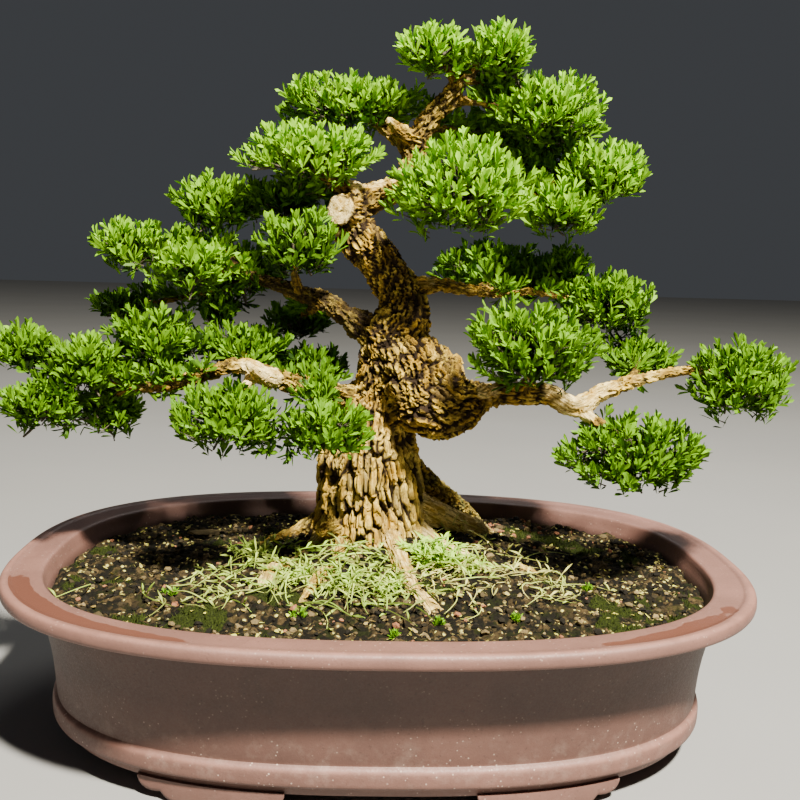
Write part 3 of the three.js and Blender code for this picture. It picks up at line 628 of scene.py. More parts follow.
# Section of the pot: (inset from the rim's oval, height), from the underside up the outside,
# over the lip and down the inside
POT_SECTION = [
    (55, 13), (44.5, 13), (43, 13.4), (41.9, 16), (41.3, 19), (40.4, 20.4), (38.4, 20.9),
    (36.3, 21.2), (35.2, 22), (34.6, 23.4), (34.4, 25.4), (34.3, 29), (34.4, 31.4), (34.9, 33.3),
    (35.8, 34.6), (36.9, 35.3), (37.7, 36), (37.6, 37.4), (37.2, 39.5), (36.7, 46), (35.8, 56),
    (34.7, 65), (33.2, 74), (31.2, 83), (28.9, 92), (26.6, 100.5), (24.9, 107), (23.7, 110.6),
    (22.2, 112.2), (19.6, 112.9), (12, 113.2), (5, 113.2), (2.6, 113.5), (1.2, 114.3),
    (0.4, 115.5), (0, 117.2), (0, 119.8), (0.4, 121.6), (1.3, 123), (2.8, 123.8), (4.6, 124),
    (7, 123.9), (8.1, 123.5), (8.8, 122.9), (10, 122.7), (14, 122.8), (20, 123), (25.6, 123.1),
    (27.4, 122.9), (28.6, 122.2), (29.3, 121), (29.9, 118), (31.9, 112.5), (34.2, 106.6),
    (37.5, 84), (41, 60), (44.6, 43), (48, 31), (55, 25), (74, 25),
]
DRAIN_HOLE_X = 118.0
DRAIN_HOLE_RADIUS = 17.0
DRAIN_HOLE_SIDES = 32
POT_FLOOR = (13.0, 25.0)
FOOT_SPAN = (62.0, 160.0)
FOOT_INSETS = (39.0, 57.0)
FOOT_TOP = 15.0

# Half of a foot's profile, which the other half mirrors: share of its length, lift off the table
FOOT_PROFILE = [
    (0, 13), (0.012, 9.6), (0.03, 7.6), (0.06, 6.2), (0.1, 5.6), (0.14, 5.9), (0.16, 6.4),
    (0.175, 5.0), (0.19, 3.4), (0.21, 2.0), (0.24, 0.9), (0.28, 0.25), (0.33, 0), (0.42, 0),
    (0.5, 0),
]

# Wet stains on the lip: (middle x, reach, strength)
LIP_STAINS = [(-205, 95, 1.0), (190, 60, 0.9)]


def oval_points(angles, inset):
    """Points on the pot's oval, drawn in by an inset"""
    def bend(value):
        return np.sign(value) * np.abs(value) ** (2 / OVAL_POWER)
    half = POT_HALF - inset
    return np.stack([half[0] * bend(np.cos(angles)), half[1] * bend(np.sin(angles))], axis=-1)


def oval_angles(count):
    """Angles that give even steps along the oval"""
    fine = np.linspace(0, 2 * math.pi, 4001)
    steps = np.linalg.norm(np.diff(oval_points(fine, 0.0), axis=0), axis=1)
    travelled = np.concatenate([[0.0], np.cumsum(steps)])
    return np.interp(np.arange(count) / count * travelled[-1], travelled, fine)


def foot_mesh(sign_x, sign_y):
    """One foot with stepped, cloud-shaped ends"""
    shares, lifts = np.array(FOOT_PROFILE).T
    shares = np.concatenate([shares, 1 - shares[-2::-1]])
    lifts = np.concatenate([lifts, lifts[-2::-1]])
    rows = []
    for share, lift in zip(shares, lifts):
        x = FOOT_SPAN[0] + (FOOT_SPAN[1] - FOOT_SPAN[0]) * share
        outer, inner = (
            half_y * (1 - (x / half_x) ** OVAL_POWER) ** (1 / OVAL_POWER)
            for half_x, half_y in (POT_HALF - inset for inset in FOOT_INSETS)
        )
        bevel = min(1.6, (FOOT_TOP - lift) * 0.3)
        shoulder, corner = lift + bevel + 1.5, lift + 0.45 * bevel
        section = [
            (outer - 0.6, FOOT_TOP), (outer, shoulder), (outer - 0.35 * bevel, corner),
            (outer - bevel, lift), (inner + bevel, lift), (inner + 0.35 * bevel, corner),
            (inner, shoulder), (inner, FOOT_TOP),
        ]
        rows.append([(sign_x * x, sign_y * y, z) for y, z in section])
    rows = np.array(rows)
    count, sides = rows.shape[:2]
    places = rows.reshape(-1, 3)
    faces = ring_faces(count, sides)
    faces.append(list(range(sides))[::-1])
    faces.append([(count - 1) * sides + side for side in range(sides)])
    if sign_x * sign_y > 0:
        faces = [face[::-1] for face in faces]
    return places, faces


def clay_finish(looks):
    r = Recipe("fired_clay")
    place = r.place()
    wear, stain, scale, body = r.layer("clay")
    cloud = r.noise(place, 14.0, 5.0, 0.6)
    grit = r.noise(place, 700.0, 3.0, 0.7)
    colour = r.mix(r.band(cloud, 0.3, 0.75), tinted(looks.clay, 0.8), tinted(looks.clay, 1.15))
    colour = r.mix(r.band(grit, 0.55, 0.8, 0.0, 0.35), colour, tinted(looks.clay, 1.5))
    dark_grit = r.band(r.noise(place, 430.0, 2.0, 0.5), 0.62, 0.72, 0.0, 0.4)
    colour = r.mix(dark_grit, colour, tinted(looks.clay, 0.45))
    drip = r.noise(r.stretched(place, (42.0, 42.0, 5.0)), 1.0, 4.0, 0.6)
    colour = r.mix(r.band(drip, 0.5, 0.8, 0.0, 0.3), colour, tinted(looks.clay, 0.55))
    fleck = r.cells(place, 260.0).outputs["Distance"]
    fleck_there = r.band(r.noise(place, 31.0, 3.0, 0.6), 0.46, 0.6)
    fleck = r.sum("MULTIPLY", r.band(fleck, 0.2, 0.1), fleck_there)
    colour = r.mix(r.sum("MULTIPLY", fleck, r.sum("ADD", scale, 0.35)), colour, looks.mineral)
    film = r.sum("MULTIPLY", scale, r.band(r.noise(place, 90.0, 5.0, 0.7), 0.45, 0.7))
    colour = r.mix(r.sum("MULTIPLY", film, 0.22), colour, looks.mineral)
    # Painted shade: the wall below the lip is multiplied darker, for its duller clay and for the
    # lip's shadow
    colour = r.mix(body, colour, (0.36, 0.33, 0.30), blend="MULTIPLY")
    edge = r.sum("MULTIPLY", wear, r.band(r.noise(place, 60.0, 3.0), 0.3, 0.6, 0.4, 1.0))
    colour = r.mix(r.sum("MULTIPLY", edge, 0.45), colour, tinted(looks.clay, 1.9))
    wet_edge = r.noise(place, 38.0, 4.0, 0.6)
    wet = r.band(r.sum("ADD", stain, r.sum("MULTIPLY", wet_edge, 0.7)), 0.80, 0.84)
    colour = r.mix(wet, colour, looks.clay_wet)
    rough = r.sum("SUBTRACT", r.band(grit, 0.3, 0.7, 0.5, 0.68), r.sum("MULTIPLY", wet, 0.22))
    height = r.sum("ADD", r.sum("MULTIPLY", grit, 0.5), r.noise(place, 160.0, 4.0, 0.6))
    return r.finish(colour, rough, r.bump(height, 0.35, 0.0006))


def build_pot(looks, finish):
    """The wall and the floor with its two drainage holes, and four feet"""
    section = np.array(POT_SECTION)
    angles = oval_angles(looks.sectors)
    rings = [
        np.column_stack([oval_points(angles, inset), np.full(len(angles), height)])
        for inset, height in section
    ]
    places = np.vstack(rings)
    sectors = len(angles)
    faces = ring_faces(len(section), sectors)

    mesh = bmesh.new()
    rows = [mesh.verts.new(place) for place in places]
    for face in faces:
        mesh.faces.new([rows[corner] for corner in face])
    walls = []
    for level, first in ((POT_FLOOR[0], 0), (POT_FLOOR[1], (len(section) - 1) * sectors)):
        border = rows[first:first + sectors]
        edges = [mesh.edges.get(pair) for pair in zip(border, border[1:] + border[:1])]
        holes = []
        for sign in (-1, 1):
            ring = []
            for angle in np.arange(DRAIN_HOLE_SIDES) * 2 * math.pi / DRAIN_HOLE_SIDES:
                x = sign * DRAIN_HOLE_X + DRAIN_HOLE_RADIUS * math.cos(angle)
                ring.append(mesh.verts.new((x, DRAIN_HOLE_RADIUS * math.sin(angle), level)))
            edges += [mesh.edges.new(pair) for pair in zip(ring, ring[1:] + ring[:1])]
            holes.append(ring)
        bmesh.ops.triangle_fill(mesh, use_beauty=True, edges=edges)
        walls.append(holes)
    for low_ring, high_ring in zip(*walls):
        for side in range(DRAIN_HOLE_SIDES):
            step = (side + 1) % DRAIN_HOLE_SIDES
            mesh.faces.new([low_ring[side], low_ring[step], high_ring[step], high_ring[side]])
    for sign_x, sign_y in product((-1, 1), repeat=2):
        foot_places, foot_faces = foot_mesh(sign_x, sign_y)
        foot = [mesh.verts.new(place) for place in foot_places]
        for face in foot_faces:
            mesh.faces.new([foot[corner] for corner in face])
    bmesh.ops.recalc_face_normals(mesh, faces=mesh.faces)
    mesh.verts.index_update()
    places = np.array([vertex.co[:] for vertex in mesh.verts])
    faces = [[vertex.index for vertex in face.verts] for face in mesh.faces]
    mesh.free()

    colours = clay_layer(*places.T)
    piece = make_piece("clay_pot", places, faces, finish, {"clay": colours}, crease=50)
    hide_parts("pot")


def clay_layer(x, y, z):
    """Colour layer for the clay: worn edges, wet stain on the lip, pale scale near the belt, and
    how far the wall below the lip is darkened, as duller clay and as painted shade of the lip's
    shadow, strongest near the top of the wall"""
    share = np.abs(x / POT_HALF[0]) ** OVAL_POWER + np.abs(y / POT_HALF[1]) ** OVAL_POWER
    inset = (1 - share ** (1 / OVAL_POWER)) * 250
    edge_rim = np.exp(-(((z - 123.6) / 1.3) ** 2)) * (inset < 4.5)
    edge_belt = np.exp(-(((z - 33.6) / 1.6) ** 2)) * (inset > 20)
    wear = np.clip(edge_rim + edge_belt, 0, 1)

    front = np.clip(-y / 120, 0, 1)
    on_lip = (z > 122.3) * (inset > 6)
    outer_half = np.clip((23.0 - inset) / 6.0, 0, 1)
    wet = [force * np.exp(-(((x - middle) / reach) ** 2)) for middle, reach, force in LIP_STAINS]
    stain = on_lip * outer_half * (0.2 + 0.8 * front) * np.maximum(*wet)

    scale = np.clip(np.exp(-(((z - 38) / 14) ** 2)) * 0.9 + 0.15, 0, 1) * (z < 110)
    # Painted shade: the wall under the lip is darkened most near its top, where the lip's shadow
    # falls, and least by the belt; part of it is the wall's duller clay
    body = np.clip((113.0 - z) / 6.0, 0, 1) * np.clip((z - 35.0) / 4.0 + 0.35, 0.35, 1)
    body = body * (0.68 + 0.32 * smooth_step((z - 52.0) / 26.0))
    return np.column_stack([wear, stain, scale, body])


# Trunk, boughs and roots

def line_steps(line):
    """The way from each point of a line to the one before it, and 0 for the first"""
    return np.concatenate([[0], np.linalg.norm(np.diff(line[:, :3], axis=0), axis=1)])


def limb_swell(seed):
    """Uneven girth: slow lobes round and along a limb"""
    def swell(line, angles):
        along = np.cumsum(line_steps(line))[:, None] / np.maximum(line[:, 3:4] * 2.2, 6.0)
        grid_along = np.repeat(along, len(angles), axis=1)
        around = np.broadcast_to(angles, grid_along.shape)
        points = np.stack([np.cos(around) * 1.1, np.sin(around) * 1.1, grid_along], axis=-1)
        return 1.0 + 0.075 * noise(points.reshape(-1, 3), seed).reshape(around.shape)
    return swell


def limb_samples():
    """Close points along every limb, with what the bark needs to know there"""
    rows = []
    for group in (TRUNKS, BRANCHES, STUBS, ROOTS):
        default = ROOT_STYLE if group is ROOTS else BRANCH_STYLE
        for name, knots in group.items():
            ratio, twist, pale, green = BARK_STYLES.get(name, default)
            line = smooth_line(knots, 3.5)
            tangents, across, over = line_frames(line)
            steps = line_steps(line)
            travelled = np.cumsum(steps)
            thickest = line[:, 3].max()
            plate_width = np.clip(2.4 + 0.125 * thickest, 3.2, 7.6)
            turns = max(7, round(2 * math.pi * thickest / plate_width))
            width = 2 * math.pi * line[:, 3] / turns
            course = np.cumsum(steps / (width * ratio))
            turn = twist * travelled
            turned = across * np.cos(turn)[:, None] + over * np.sin(turn)[:, None]
            turned_over = over * np.cos(turn)[:, None] - across * np.sin(turn)[:, None]
            own = [(travelled, 1), (width, 1), (course, 1), (ratio, 0), (turns, 0), (pale, 0),
                   (green, 0), (len(rows), 0)]
            facts = [value if whole else np.full(len(line), float(value)) for value, whole in own]
            rows.append(np.column_stack([line, tangents, turned, turned_over, *facts]))
    return np.vstack(rows)


def nearest_samples(places, samples):
    """For each place the limb point whose surface is nearest"""
    found = np.zeros(len(places), dtype=np.int64)
    centres = samples[:, :3]
    square = (centres**2).sum(1)
    for start in range(0, len(places), 4000):
        part = places[start:start + 4000]
        apart = (part**2).sum(1)[:, None] + square[None, :] - 2 * part @ centres.T
        outside = np.sqrt(np.maximum(apart, 0)) - samples[:, 3][None, :]
        found[start:start + 4000] = np.argmin(outside, axis=1)
    return found


def relaxed(places, quads, rounds):
    """Places moved half way to the middle of their neighbours, several times"""
    first = quads.ravel()
    second = np.roll(quads, -1, axis=1).ravel()
    count = np.bincount(first, minlength=len(places))[:, None]
    for _ in range(rounds):
        totals = [np.bincount(first, places[second, axis], len(places)) for axis in range(3)]
        places = 0.5 * places + 0.5 * np.stack(totals, axis=1) / np.maximum(count, 1)
    return places


def quad_normals(places, quads):
    a, b, c, d = (places[quads[:, corner]] for corner in range(4))
    face = np.cross(c - a, d - b)
    total = np.zeros_like(places)
    for corner in range(4):
        for axis in range(3):
            total[:, axis] += np.bincount(quads[:, corner], face[:, axis], len(places))
    return unit(total)


def bark_finish(looks):
    r = Recipe("corky_bark")
    crack_and_shade, tone, pale, green = r.layer("bark")
    grain = r.vector_layer("grain")
    fibre = r.noise(r.stretched(grain, (1000.0, 1000.0, 75.0)), 1.0, 5.0, 0.65)
    blotch = r.noise(grain, 70.0, 4.0, 0.6)
    fine = r.noise(r.stretched(grain, (1.0, 1.0, 0.4)), 1500.0, 3.0, 0.6)
    colour = r.mix(r.band(tone, 0.15, 0.85), looks.plate_dark, looks.plate)
    worn = r.sum("MULTIPLY", r.band(blotch, 0.4, 0.66, 0.0, 0.85), r.band(tone, 0.1, 0.6))
    colour = r.mix(worn, colour, looks.plate_pale)
    colour = r.mix(r.band(fibre, 0.55, 0.36, 0.0, 0.65), colour, tinted(looks.plate_dark, 0.6))
    # Painted shade: paleness below the middle multiplies the bark towards a dark, cool colour, for
    # darker bark and for the pads' shade
    colour = r.mix(r.band(pale, 0.5, 0.0), colour, (0.09, 0.105, 0.17), blend="MULTIPLY")
    strand = r.noise(r.stretched(grain, (400.0, 400.0, 34.0)), 1.0, 4.0, 0.6)
    bare = r.mix(r.band(fibre, 0.36, 0.56), tinted(looks.deadwood, 0.42), looks.deadwood)
    bare = r.mix(r.band(strand, 0.50, 0.40, 0.0, 0.75), bare, tinted(looks.plate, 0.35))
    bare = r.mix(r.band(blotch, 0.55, 0.35, 0.0, 0.6), bare, tinted(looks.plate, 0.8))
    colour = r.mix(r.band(pale, 0.5, 1.0), colour, bare)
    moss_there = r.sum("MULTIPLY", green, r.band(r.noise(grain, 45.0, 4.0, 0.65), 0.35, 0.6))
    colour = r.mix(moss_there, colour, looks.moss)
    colour = r.mix(r.band(fine, 0.55, 0.75, 0.0, 0.3), colour, tinted(looks.plate_dark, 0.4))
    # Painted shade: crevices and the ring round the sawn face go near black, partly darker bark and
    # partly their shadow
    colour = r.mix(r.band(crack_and_shade, 0.15, 0.7), colour, looks.crack_and_shade)
    height = r.sum("ADD", fibre, r.sum("MULTIPLY", fine, 0.5))
    rough = r.band(fibre, 0.2, 0.8, 0.95, 0.75)
    return r.finish(colour, rough, r.bump(height, 0.8, 0.0009), Specular_IOR_Level=0.15)


def bark_at(places, samples):
    """The bark at places on the wood: how far it stands out, its colour layer (crevice darkness
    with painted shade, tone, paleness with painted light and shade, green) and its way round and
    along the limb"""
    here = samples[nearest_samples(places, samples)]
    centre, radius = here[:, :3], here[:, 3]
    tangent, across, over = here[:, 4:7], here[:, 7:10], here[:, 10:13]
    travelled, width, course, ratio, turns, pale, green, own = here[:, 13:].T
    offset = places - centre
    side_way = (offset * across).sum(1)
    over_way = (offset * over).sum(1)
    along_way = (offset * tangent).sum(1)
    out_way = np.maximum(np.hypot(side_way, over_way), 1e-6)
    core = centre + tangent * along_way[:, None] + (
        across * side_way[:, None] + over * over_way[:, None]) * (radius / out_way)[:, None]
    warp_place = core / (1.9 * width)[:, None] + own[:, None]
    warp = np.column_stack([noise(warp_place, salt) for salt in (3, 4, 5)])
    around = np.arctan2(over_way, side_way) / (2 * math.pi) * turns + 0.3 * warp[:, 0]
    along = course + along_way / (width * ratio) + 0.22 * warp[:, 1]
    border, tone, tilt, in_around, in_along = plate_pattern(around, along, turns, own, 21)
    fine_border, fine_tone, _, _, fine_along = plate_pattern(
        around * 2 + 0.3 * warp[:, 2], along * 2.3 + 0.3 * warp[:, 0], turns * 2, own, 51)

    for x, y, z, reach, paleness in BARE_PATCHES:
        near = np.linalg.norm(places - np.array([x, y, z]), axis=1) / reach
        share = smooth_step((1.25 - near + 0.3 * warp[:, 0]) / 0.45)
        pale = pale + np.maximum(paleness - pale, 0) * share
    pale = np.clip(pale * (1 + 0.25 * warp[:, 1]), -1, 1)
    cut = np.zeros(len(places))
    for x, y, z, reach in CUT_FACES:
        near = np.linalg.norm(places - np.array([x, y, z]), axis=1) / reach
        cut = np.maximum(cut, smooth_step((1.06 - near + 0.16 * warp[:, 2]) / 0.26))
    # Painted shade: negative paleness becomes darkness, for darker bark and for the shade of the
    # pads
    dark = np.clip(-pale, 0, 1)
    pale = np.clip(pale, 0, 1)
    depth = np.minimum(1.3 + 0.068 * radius, 0.24 * radius) * (1 - 0.5 * pale)
    plate = smooth_step(border / np.clip(2.1 / width, 0.22, 0.6))
    fine_plate = smooth_step(fine_border / np.clip(2.2 / width, 0.25, 0.7))
    leaning = (tilt - 0.5) * in_around * 1.3 - 0.8 * in_along
    lift = depth * (0.95 * (plate - 0.8) + 0.8 * (tone - 0.5) + leaning)
    lift += depth * (0.34 * (fine_plate - 0.85) + 0.3 * (fine_tone - 0.5) - 0.3 * fine_along)
    reached = travelled + along_way
    streak = noise(np.column_stack([side_way / 1.7, over_way / 1.7, reached / 9.0]), 77)
    lift += np.clip(radius * 0.03, 0.12, 0.45) * streak * (1 + 1.6 * pale)
    ridges = np.column_stack([side_way, over_way, reached * 0.3]) / (0.5 * radius)[:, None]
    rise = np.where(radius < 40, 0.1, 0.04) * radius * (1 - 0.5 * pale)
    lift += rise * noise(ridges + own[:, None], 91)

    rays = np.abs(np.sin(1.5 * np.arctan2(over_way, side_way) + 1.3 * warp[:, 0]))
    split = smooth_step(1.2 - rays * out_way / 0.9)
    rings = 0.22 * np.sin(out_way * 2.6 + warp[:, 1]) + 0.9 * warp[:, 2] - 0.5 * split
    lift = lift * (1 - 0.85 * cut) + cut * rings

    # Crevice darkness, partly painted shade; the ring round the sawn face gets the same
    crack_and_shade = np.maximum(1 - plate, 0.55 * (1 - fine_plate)) * (1 - 0.6 * pale)
    crack_and_shade = crack_and_shade * np.clip(width / 4.5, 0.6, 1)
    crack_and_shade = np.maximum(crack_and_shade * (1 - cut), np.maximum(2.6 * cut * (1 - cut), 0.5 * cut * split))
    pale = np.maximum(pale, cut)
    green_side = np.clip((places[:, 0] - 5) / 40, 0, 1) * np.clip((235 - places[:, 2]) / 60, 0, 1)
    green = np.clip(green + 0.6 * green_side * (radius > 30), 0, 1)
    # The darkness, partly painted shade, also lowers the tone
    tone = 0.1 + 0.6 * tone + 0.4 * fine_tone - 0.35 * dark
    bark = np.column_stack([crack_and_shade, np.clip(tone, 0, 1), 0.5 + 0.5 * (pale - dark), green])
    grain = np.column_stack([side_way, over_way, reached]) * MM
    return lift, bark, grain


def through_modifier(places, faces, kind, **settings):
    """Places and faces after one modifier"""
    mesh = bpy.data.meshes.new("rough_wood")
    mesh.from_pydata((places * MM).tolist(), [], faces)
    rough = bpy.data.objects.new("rough_wood", mesh)
    bpy.context.scene.collection.objects.link(rough)
    modifier = rough.modifiers.new("change", kind)
    for key, value in settings.items():
        setattr(modifier, key, value)
    result = rough.evaluated_get(bpy.context.evaluated_depsgraph_get()).to_mesh()
    points = np.zeros(len(result.vertices) * 3)
    result.vertices.foreach_get("co", points)
    corners = np.zeros(len(result.loops), dtype=np.int64)
    result.loops.foreach_get("vertex_index", corners)
    rough.to_mesh_clear()
    bpy.data.objects.remove(rough)
    bpy.data.meshes.remove(mesh)
    return points.reshape(-1, 3) / MM, corners


def joined(meshes):
    """The places and faces of several meshes as one"""
    places, faces, count = [], [], 0
    for part_places, part_faces in meshes:
        places.append(part_places)
        faces.extend([[corner + count for corner in face] for face in part_faces])
        count += len(part_places)
    return np.vstack(places), faces


def build_wood(looks, finish):
    """Limbs melted into one skin, carved with bark, and plain roots down in the soil"""
    limbs = []
    for group in (TRUNKS, BRANCHES, STUBS, ROOTS):
        for name, knots in group.items():
            line = smooth_line(knots, 3.0)
            sides = int(np.clip(line[:, 3].max() * 1.4, 12, 44))
            swell = limb_swell(SEEDS["limbs"] + len(limbs))
            limbs.append(tube(line, sides, swell, CUT_TIPS.get(name, 0.5)))
    skin, corners = through_modifier(
        *joined(limbs), "REMESH", mode="VOXEL", voxel_size=looks.grain * MM)
    quads = corners.reshape(-1, 4)
    skin = relaxed(skin, quads, 3)
    samples = limb_samples()
    lift, _, _ = bark_at(skin, samples)
    skin = skin + quad_normals(skin, quads) * lift[:, None]
    share = min(1.0, looks.triangles / (2 * len(quads)))
    skin, corners = through_modifier(
        skin, quads.tolist(), "DECIMATE", ratio=share, use_collapse_triangulate=True)
    _, bark, grain = bark_at(skin, samples)

    buried = [tube(smooth_line(knots, 8.0), 16) for knots in BURIED.values()]
    places, faces = joined([(skin, corners.reshape(-1, 3).tolist()), *buried])
    deep = places[len(skin):]
    bark = np.vstack([bark, np.tile([0.0, 0.4, 0.6, 0.0], (len(deep), 1))])
    grain = np.vstack([grain, deep * MM])
    piece = make_piece(
        "trunk_and_boughs", places, faces, finish, {"bark": bark}, {"grain": grain},
        crease=42)
    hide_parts("tree_wood")


# Leaves

LEAF_THICKNESS = 0.5

# Outline of a leaf: (share of the length, share of the half width) at its two pairs of edge
# points, before its tip, and the share at which the midrib is lowest
LEAF_OUTLINE = ((0.46, 0.78), (0.82, 0.96))
LEAF_MIDRIB = 0.6
LEAF_RIM = (0, 1, 3, 5, 4, 2)
LEAF_FACES = [
    [*pair, middle] if middle == 6 else [*pair[::-1], middle]
    for middle in (6, 7)
    for pair in zip(LEAF_RIM[1:] + LEAF_RIM[:1], LEAF_RIM)
]


def leaf_places(root, along, upper, length, width, fold, bend):
    """Closed blunt leaves, cupped along the midrib and bent back: (leaves, 8 points, 3)"""
    def spine(share):
        drop = upper * (bend * length * share**2)[:, None]
        return root + along * (length * share)[:, None] - drop

    sideways = np.cross(along, upper)
    rows = [root]
    for share, broad in LEAF_OUTLINE:
        side = sideways * (width * broad / 2 * np.cos(fold))[:, None]
        rise = upper * (width * broad / 2 * np.sin(fold))[:, None]
        rows += [spine(share) - side + rise, spine(share) + side + rise]
    skin = upper * LEAF_THICKNESS / 2
    middle = spine(LEAF_MIDRIB)
    return np.stack([*rows, spine(1.0), middle + skin, middle - skin], axis=1)


def leaf_colours(tone, depth):
    """Colour layer for leaves: tone, which carries painted light and shade, depth in the pad, which
    drives painted shade, way from the midrib, way along
    """
    layer = np.zeros((len(tone), 8, 4))
    layer[..., 0] = tone[:, None]
    layer[..., 1] = depth[:, None]
    layer[..., 2] = np.array([0, 1, 1, 1, 1, 0.3, 0, 0])[None, :]
    layer[..., 3] = np.array([0, 0.46, 0.46, 0.82, 0.82, 1, 0.6, 0.6])[None, :]
    return layer


def leaf_finish(looks):
    r = Recipe("boxwood_leaf")
    tone, depth, across, along = r.layer("leaf")
    place = r.place()
    mottle = r.noise(place, 260.0, 2.0, 0.5)
    # Painted light and shade: the tone moves each leaf between a darkened mature colour and the
    # sunlit colour
    colour = r.mix(r.band(tone, 0.05, 0.95), tinted(looks.mature, 0.8), looks.sunlit)
    colour = r.mix(r.band(along, 0.75, 0.0, 0.0, 0.35), colour, tinted(looks.mature, 0.7))
    colour = r.mix(r.band(mottle, 0.4, 0.7, 0.0, 0.3), colour, looks.sunlit)
    colour = r.mix(r.band(across, 0.22, 0.04, 0.0, 0.4), colour, tinted(looks.sunlit, 1.1))
    # Painted shade: leaves with little depth, deep in or low on a pad, turn towards the inner
    # colour
    colour = r.mix(r.band(depth, 0.55, 0.05), colour, looks.inner)
    shader = r.add("BsdfPrincipled", {"Base Color": colour, "Roughness": 0.5})
    shader.inputs["Specular IOR Level"].default_value = 0.14
    glow = r.add("BsdfTranslucent", {"Color": r.mix(0.5, colour, looks.sunlit)})
    both = r.add("MixShader", {"Fac": 0.28, 1: shader.outputs[0], 2: glow.outputs[0]})
    r.add("OutputMaterial", {"Surface": both.outputs[0]})
    return r.material


def stem_finish(looks):
    r = Recipe("young_twig")
    place = r.place()
    streak = r.noise(place, 420.0, 3.0, 0.6)
    colour = r.mix(r.band(streak, 0.35, 0.65), tinted(looks.stem, 0.6), tinted(looks.stem, 1.4))
    return r.finish(colour, 0.8, r.bump(streak, 0.5, 0.0003))


def add_stems(batch, roots, tips, width):
    """Thin three-sided stems that run to a point"""
    way = unit(tips - roots)
    count = len(way)
    square = np.full(count, math.pi / 2)
    base = [
        roots + around_axis(way, square, np.full(count, turn)) * width
        for turn in np.arange(3) * 2 * math.pi / 3
    ]
    colours = np.zeros((count, 4, 4))
    colours[..., :2] = (0.7, 0.5)
    batch.add_array(np.stack([*base, tips], axis=1), SPIKE_FACES, colours)


def around_axis(axis, angle_from, turn):
    """Directions at an angle from each axis, turned about it"""
    helper = np.where(np.abs(axis[:, 2:3]) < 0.9, UP[None, :], np.array([[1.0, 0.0, 0.0]]))
    first = unit(np.cross(axis, helper))
    second = np.cross(axis, first)
    ring = first * np.cos(turn)[:, None] + second * np.sin(turn)[:, None]
    return unit(axis * np.cos(angle_from)[:, None] + ring * np.sin(angle_from)[:, None])


def pad_shoots(centre, half, looks, random):
    """Shoots whose tips cover a pad's outline, and ones inside it whose leaves get painted shade:
    roots, directions, lengths and how high on the pad they stand"""
    sides = (half[0] * half[1]) ** 1.6 + (half[0] * half[2]) ** 1.6 + (half[1] * half[2]) ** 1.6
    area = 4 * math.pi * (sides / 3) ** (1 / 1.6)
    outer = int(area / looks.shoot_spacing**2)
    rows = []
    for count, low, high in ((outer, 0.84, 1.06), (int(outer * 0.3), 0.45, 0.78)):
        index = np.arange(count) + 0.5
        height = 0.98 - 1.78 * index / count
        turn = index * math.pi * (3 - math.sqrt(5)) + random.random() * 6
        level = np.sqrt(1 - height**2)
        outward = np.column_stack([np.cos(turn) * level, np.sin(turn) * level, height])
        outward = unit(outward + random.normal(0, 0.1, outward.shape))
        lobes = 1.04 + 0.33 * noise(outward * 3.1 + 50 + random.random() * 40, 7)
        flat = np.array([1.0, 1.0, 1.0]) - np.outer(height < 0, [0.0, 0.0, 0.16])
        tips = centre + outward * flat * half * (lobes * random.uniform(low, high, count))[:, None]
        way = outward * np.array([1.0, 1.0, 0.5]) + UP * 0.75
        way = unit(way + random.normal(0, 0.22, (count, 3)))
        length = random.uniform(8.0, 15.0, count)
        rows.append((tips - way * (length + 6.5)[:, None], way, length, height))
    return [np.concatenate(parts) for parts in zip(*rows)]


# Pairs of leaves up a shoot: (share of the shoot, angle from it in degrees, size)
LEAF_PAIRS = ((0.1, 48, 0.85), (0.38, 40, 1.0), (0.64, 32, 1.05), (0.86, 23, 1.0), (1.0, 11, 0.8))


def heart_shade(centre):
    """How much painted shade leaves about a centre get in the tree's left heart, also standing
    for older, darker leaves there
    """
    x, y, z = centre
    if x > -25 or z > 415:
        return 0.0
    return smooth_step((130 - math.hypot(x + 10, y - 20)) / 60) * smooth_step((y + 45) / 30)


def shoot_leaves(roots, directions, lengths, heights, centre, half, looks, random):
    """Opposite pairs of leaves up each shoot, closing in towards its tip"""
    count = len(roots)
    places, colours = [], []
    # Painted shade: leaves in the tree's left heart and on pads towards the back are darkened
    shade = heart_shade(centre)
    painted_shade_behind = 1 - 0.6 * smooth_step(centre[1] / 45.0)
    # Painted light: pads higher in the tree get a brighter tone
    painted_light_high = 0.5 + 1.2 * smooth_step((centre[2] - 240) / 270)
    start = random.random(count) * 6
    tone_here = random.random(count)
    for order, (step, angle, size) in enumerate(LEAF_PAIRS):
        for side in (0, 1):
            turn = start + order * math.pi / 2 + side * math.pi + random.normal(0, 0.25, count)
            along = around_axis(directions, np.radians(angle + random.normal(0, 8, count)), turn)
            along = unit(along + UP * 0.24)
            upper = unit(directions - along * (directions * along).sum(1)[:, None])
            root = roots + directions * (lengths * step)[:, None]
            length = looks.length * size * random.uniform(0.8, 1.2, count)
            width = looks.width * (0.35 + 0.65 * size) * random.uniform(0.85, 1.15, count)
            out = np.sqrt((((root + along * length[:, None] - centre) / half) ** 2).sum(1))
            keep = out < 1.32
            fold = random.uniform(0.15, 0.6, count)
            bend = random.uniform(0.0, 0.2, count)
            made = leaf_places(root, along, upper, length, width, fold, bend)
            # Painted light and shade: leaves high on a pad get more tone and less shade, low ones
            # less tone and more shade; the rest of the tone is random
            depth = np.clip((out - 0.4) / 0.5, 0, 1) * np.clip(0.75 + 0.6 * heights, 0.25, 1)
            tone = 0.12 + 0.35 * tone_here + 0.35 * random.random(count) + 0.2 * heights
            tone = tone * painted_shade_behind * painted_light_high * (1 - 0.5 * shade)
            depth = depth * (1 - 0.55 * shade)
            places.append(made[keep])
            colours.append(leaf_colours(np.clip(tone, 0, 1)[keep], depth[keep]))
    return np.concatenate(places), np.concatenate(colours)


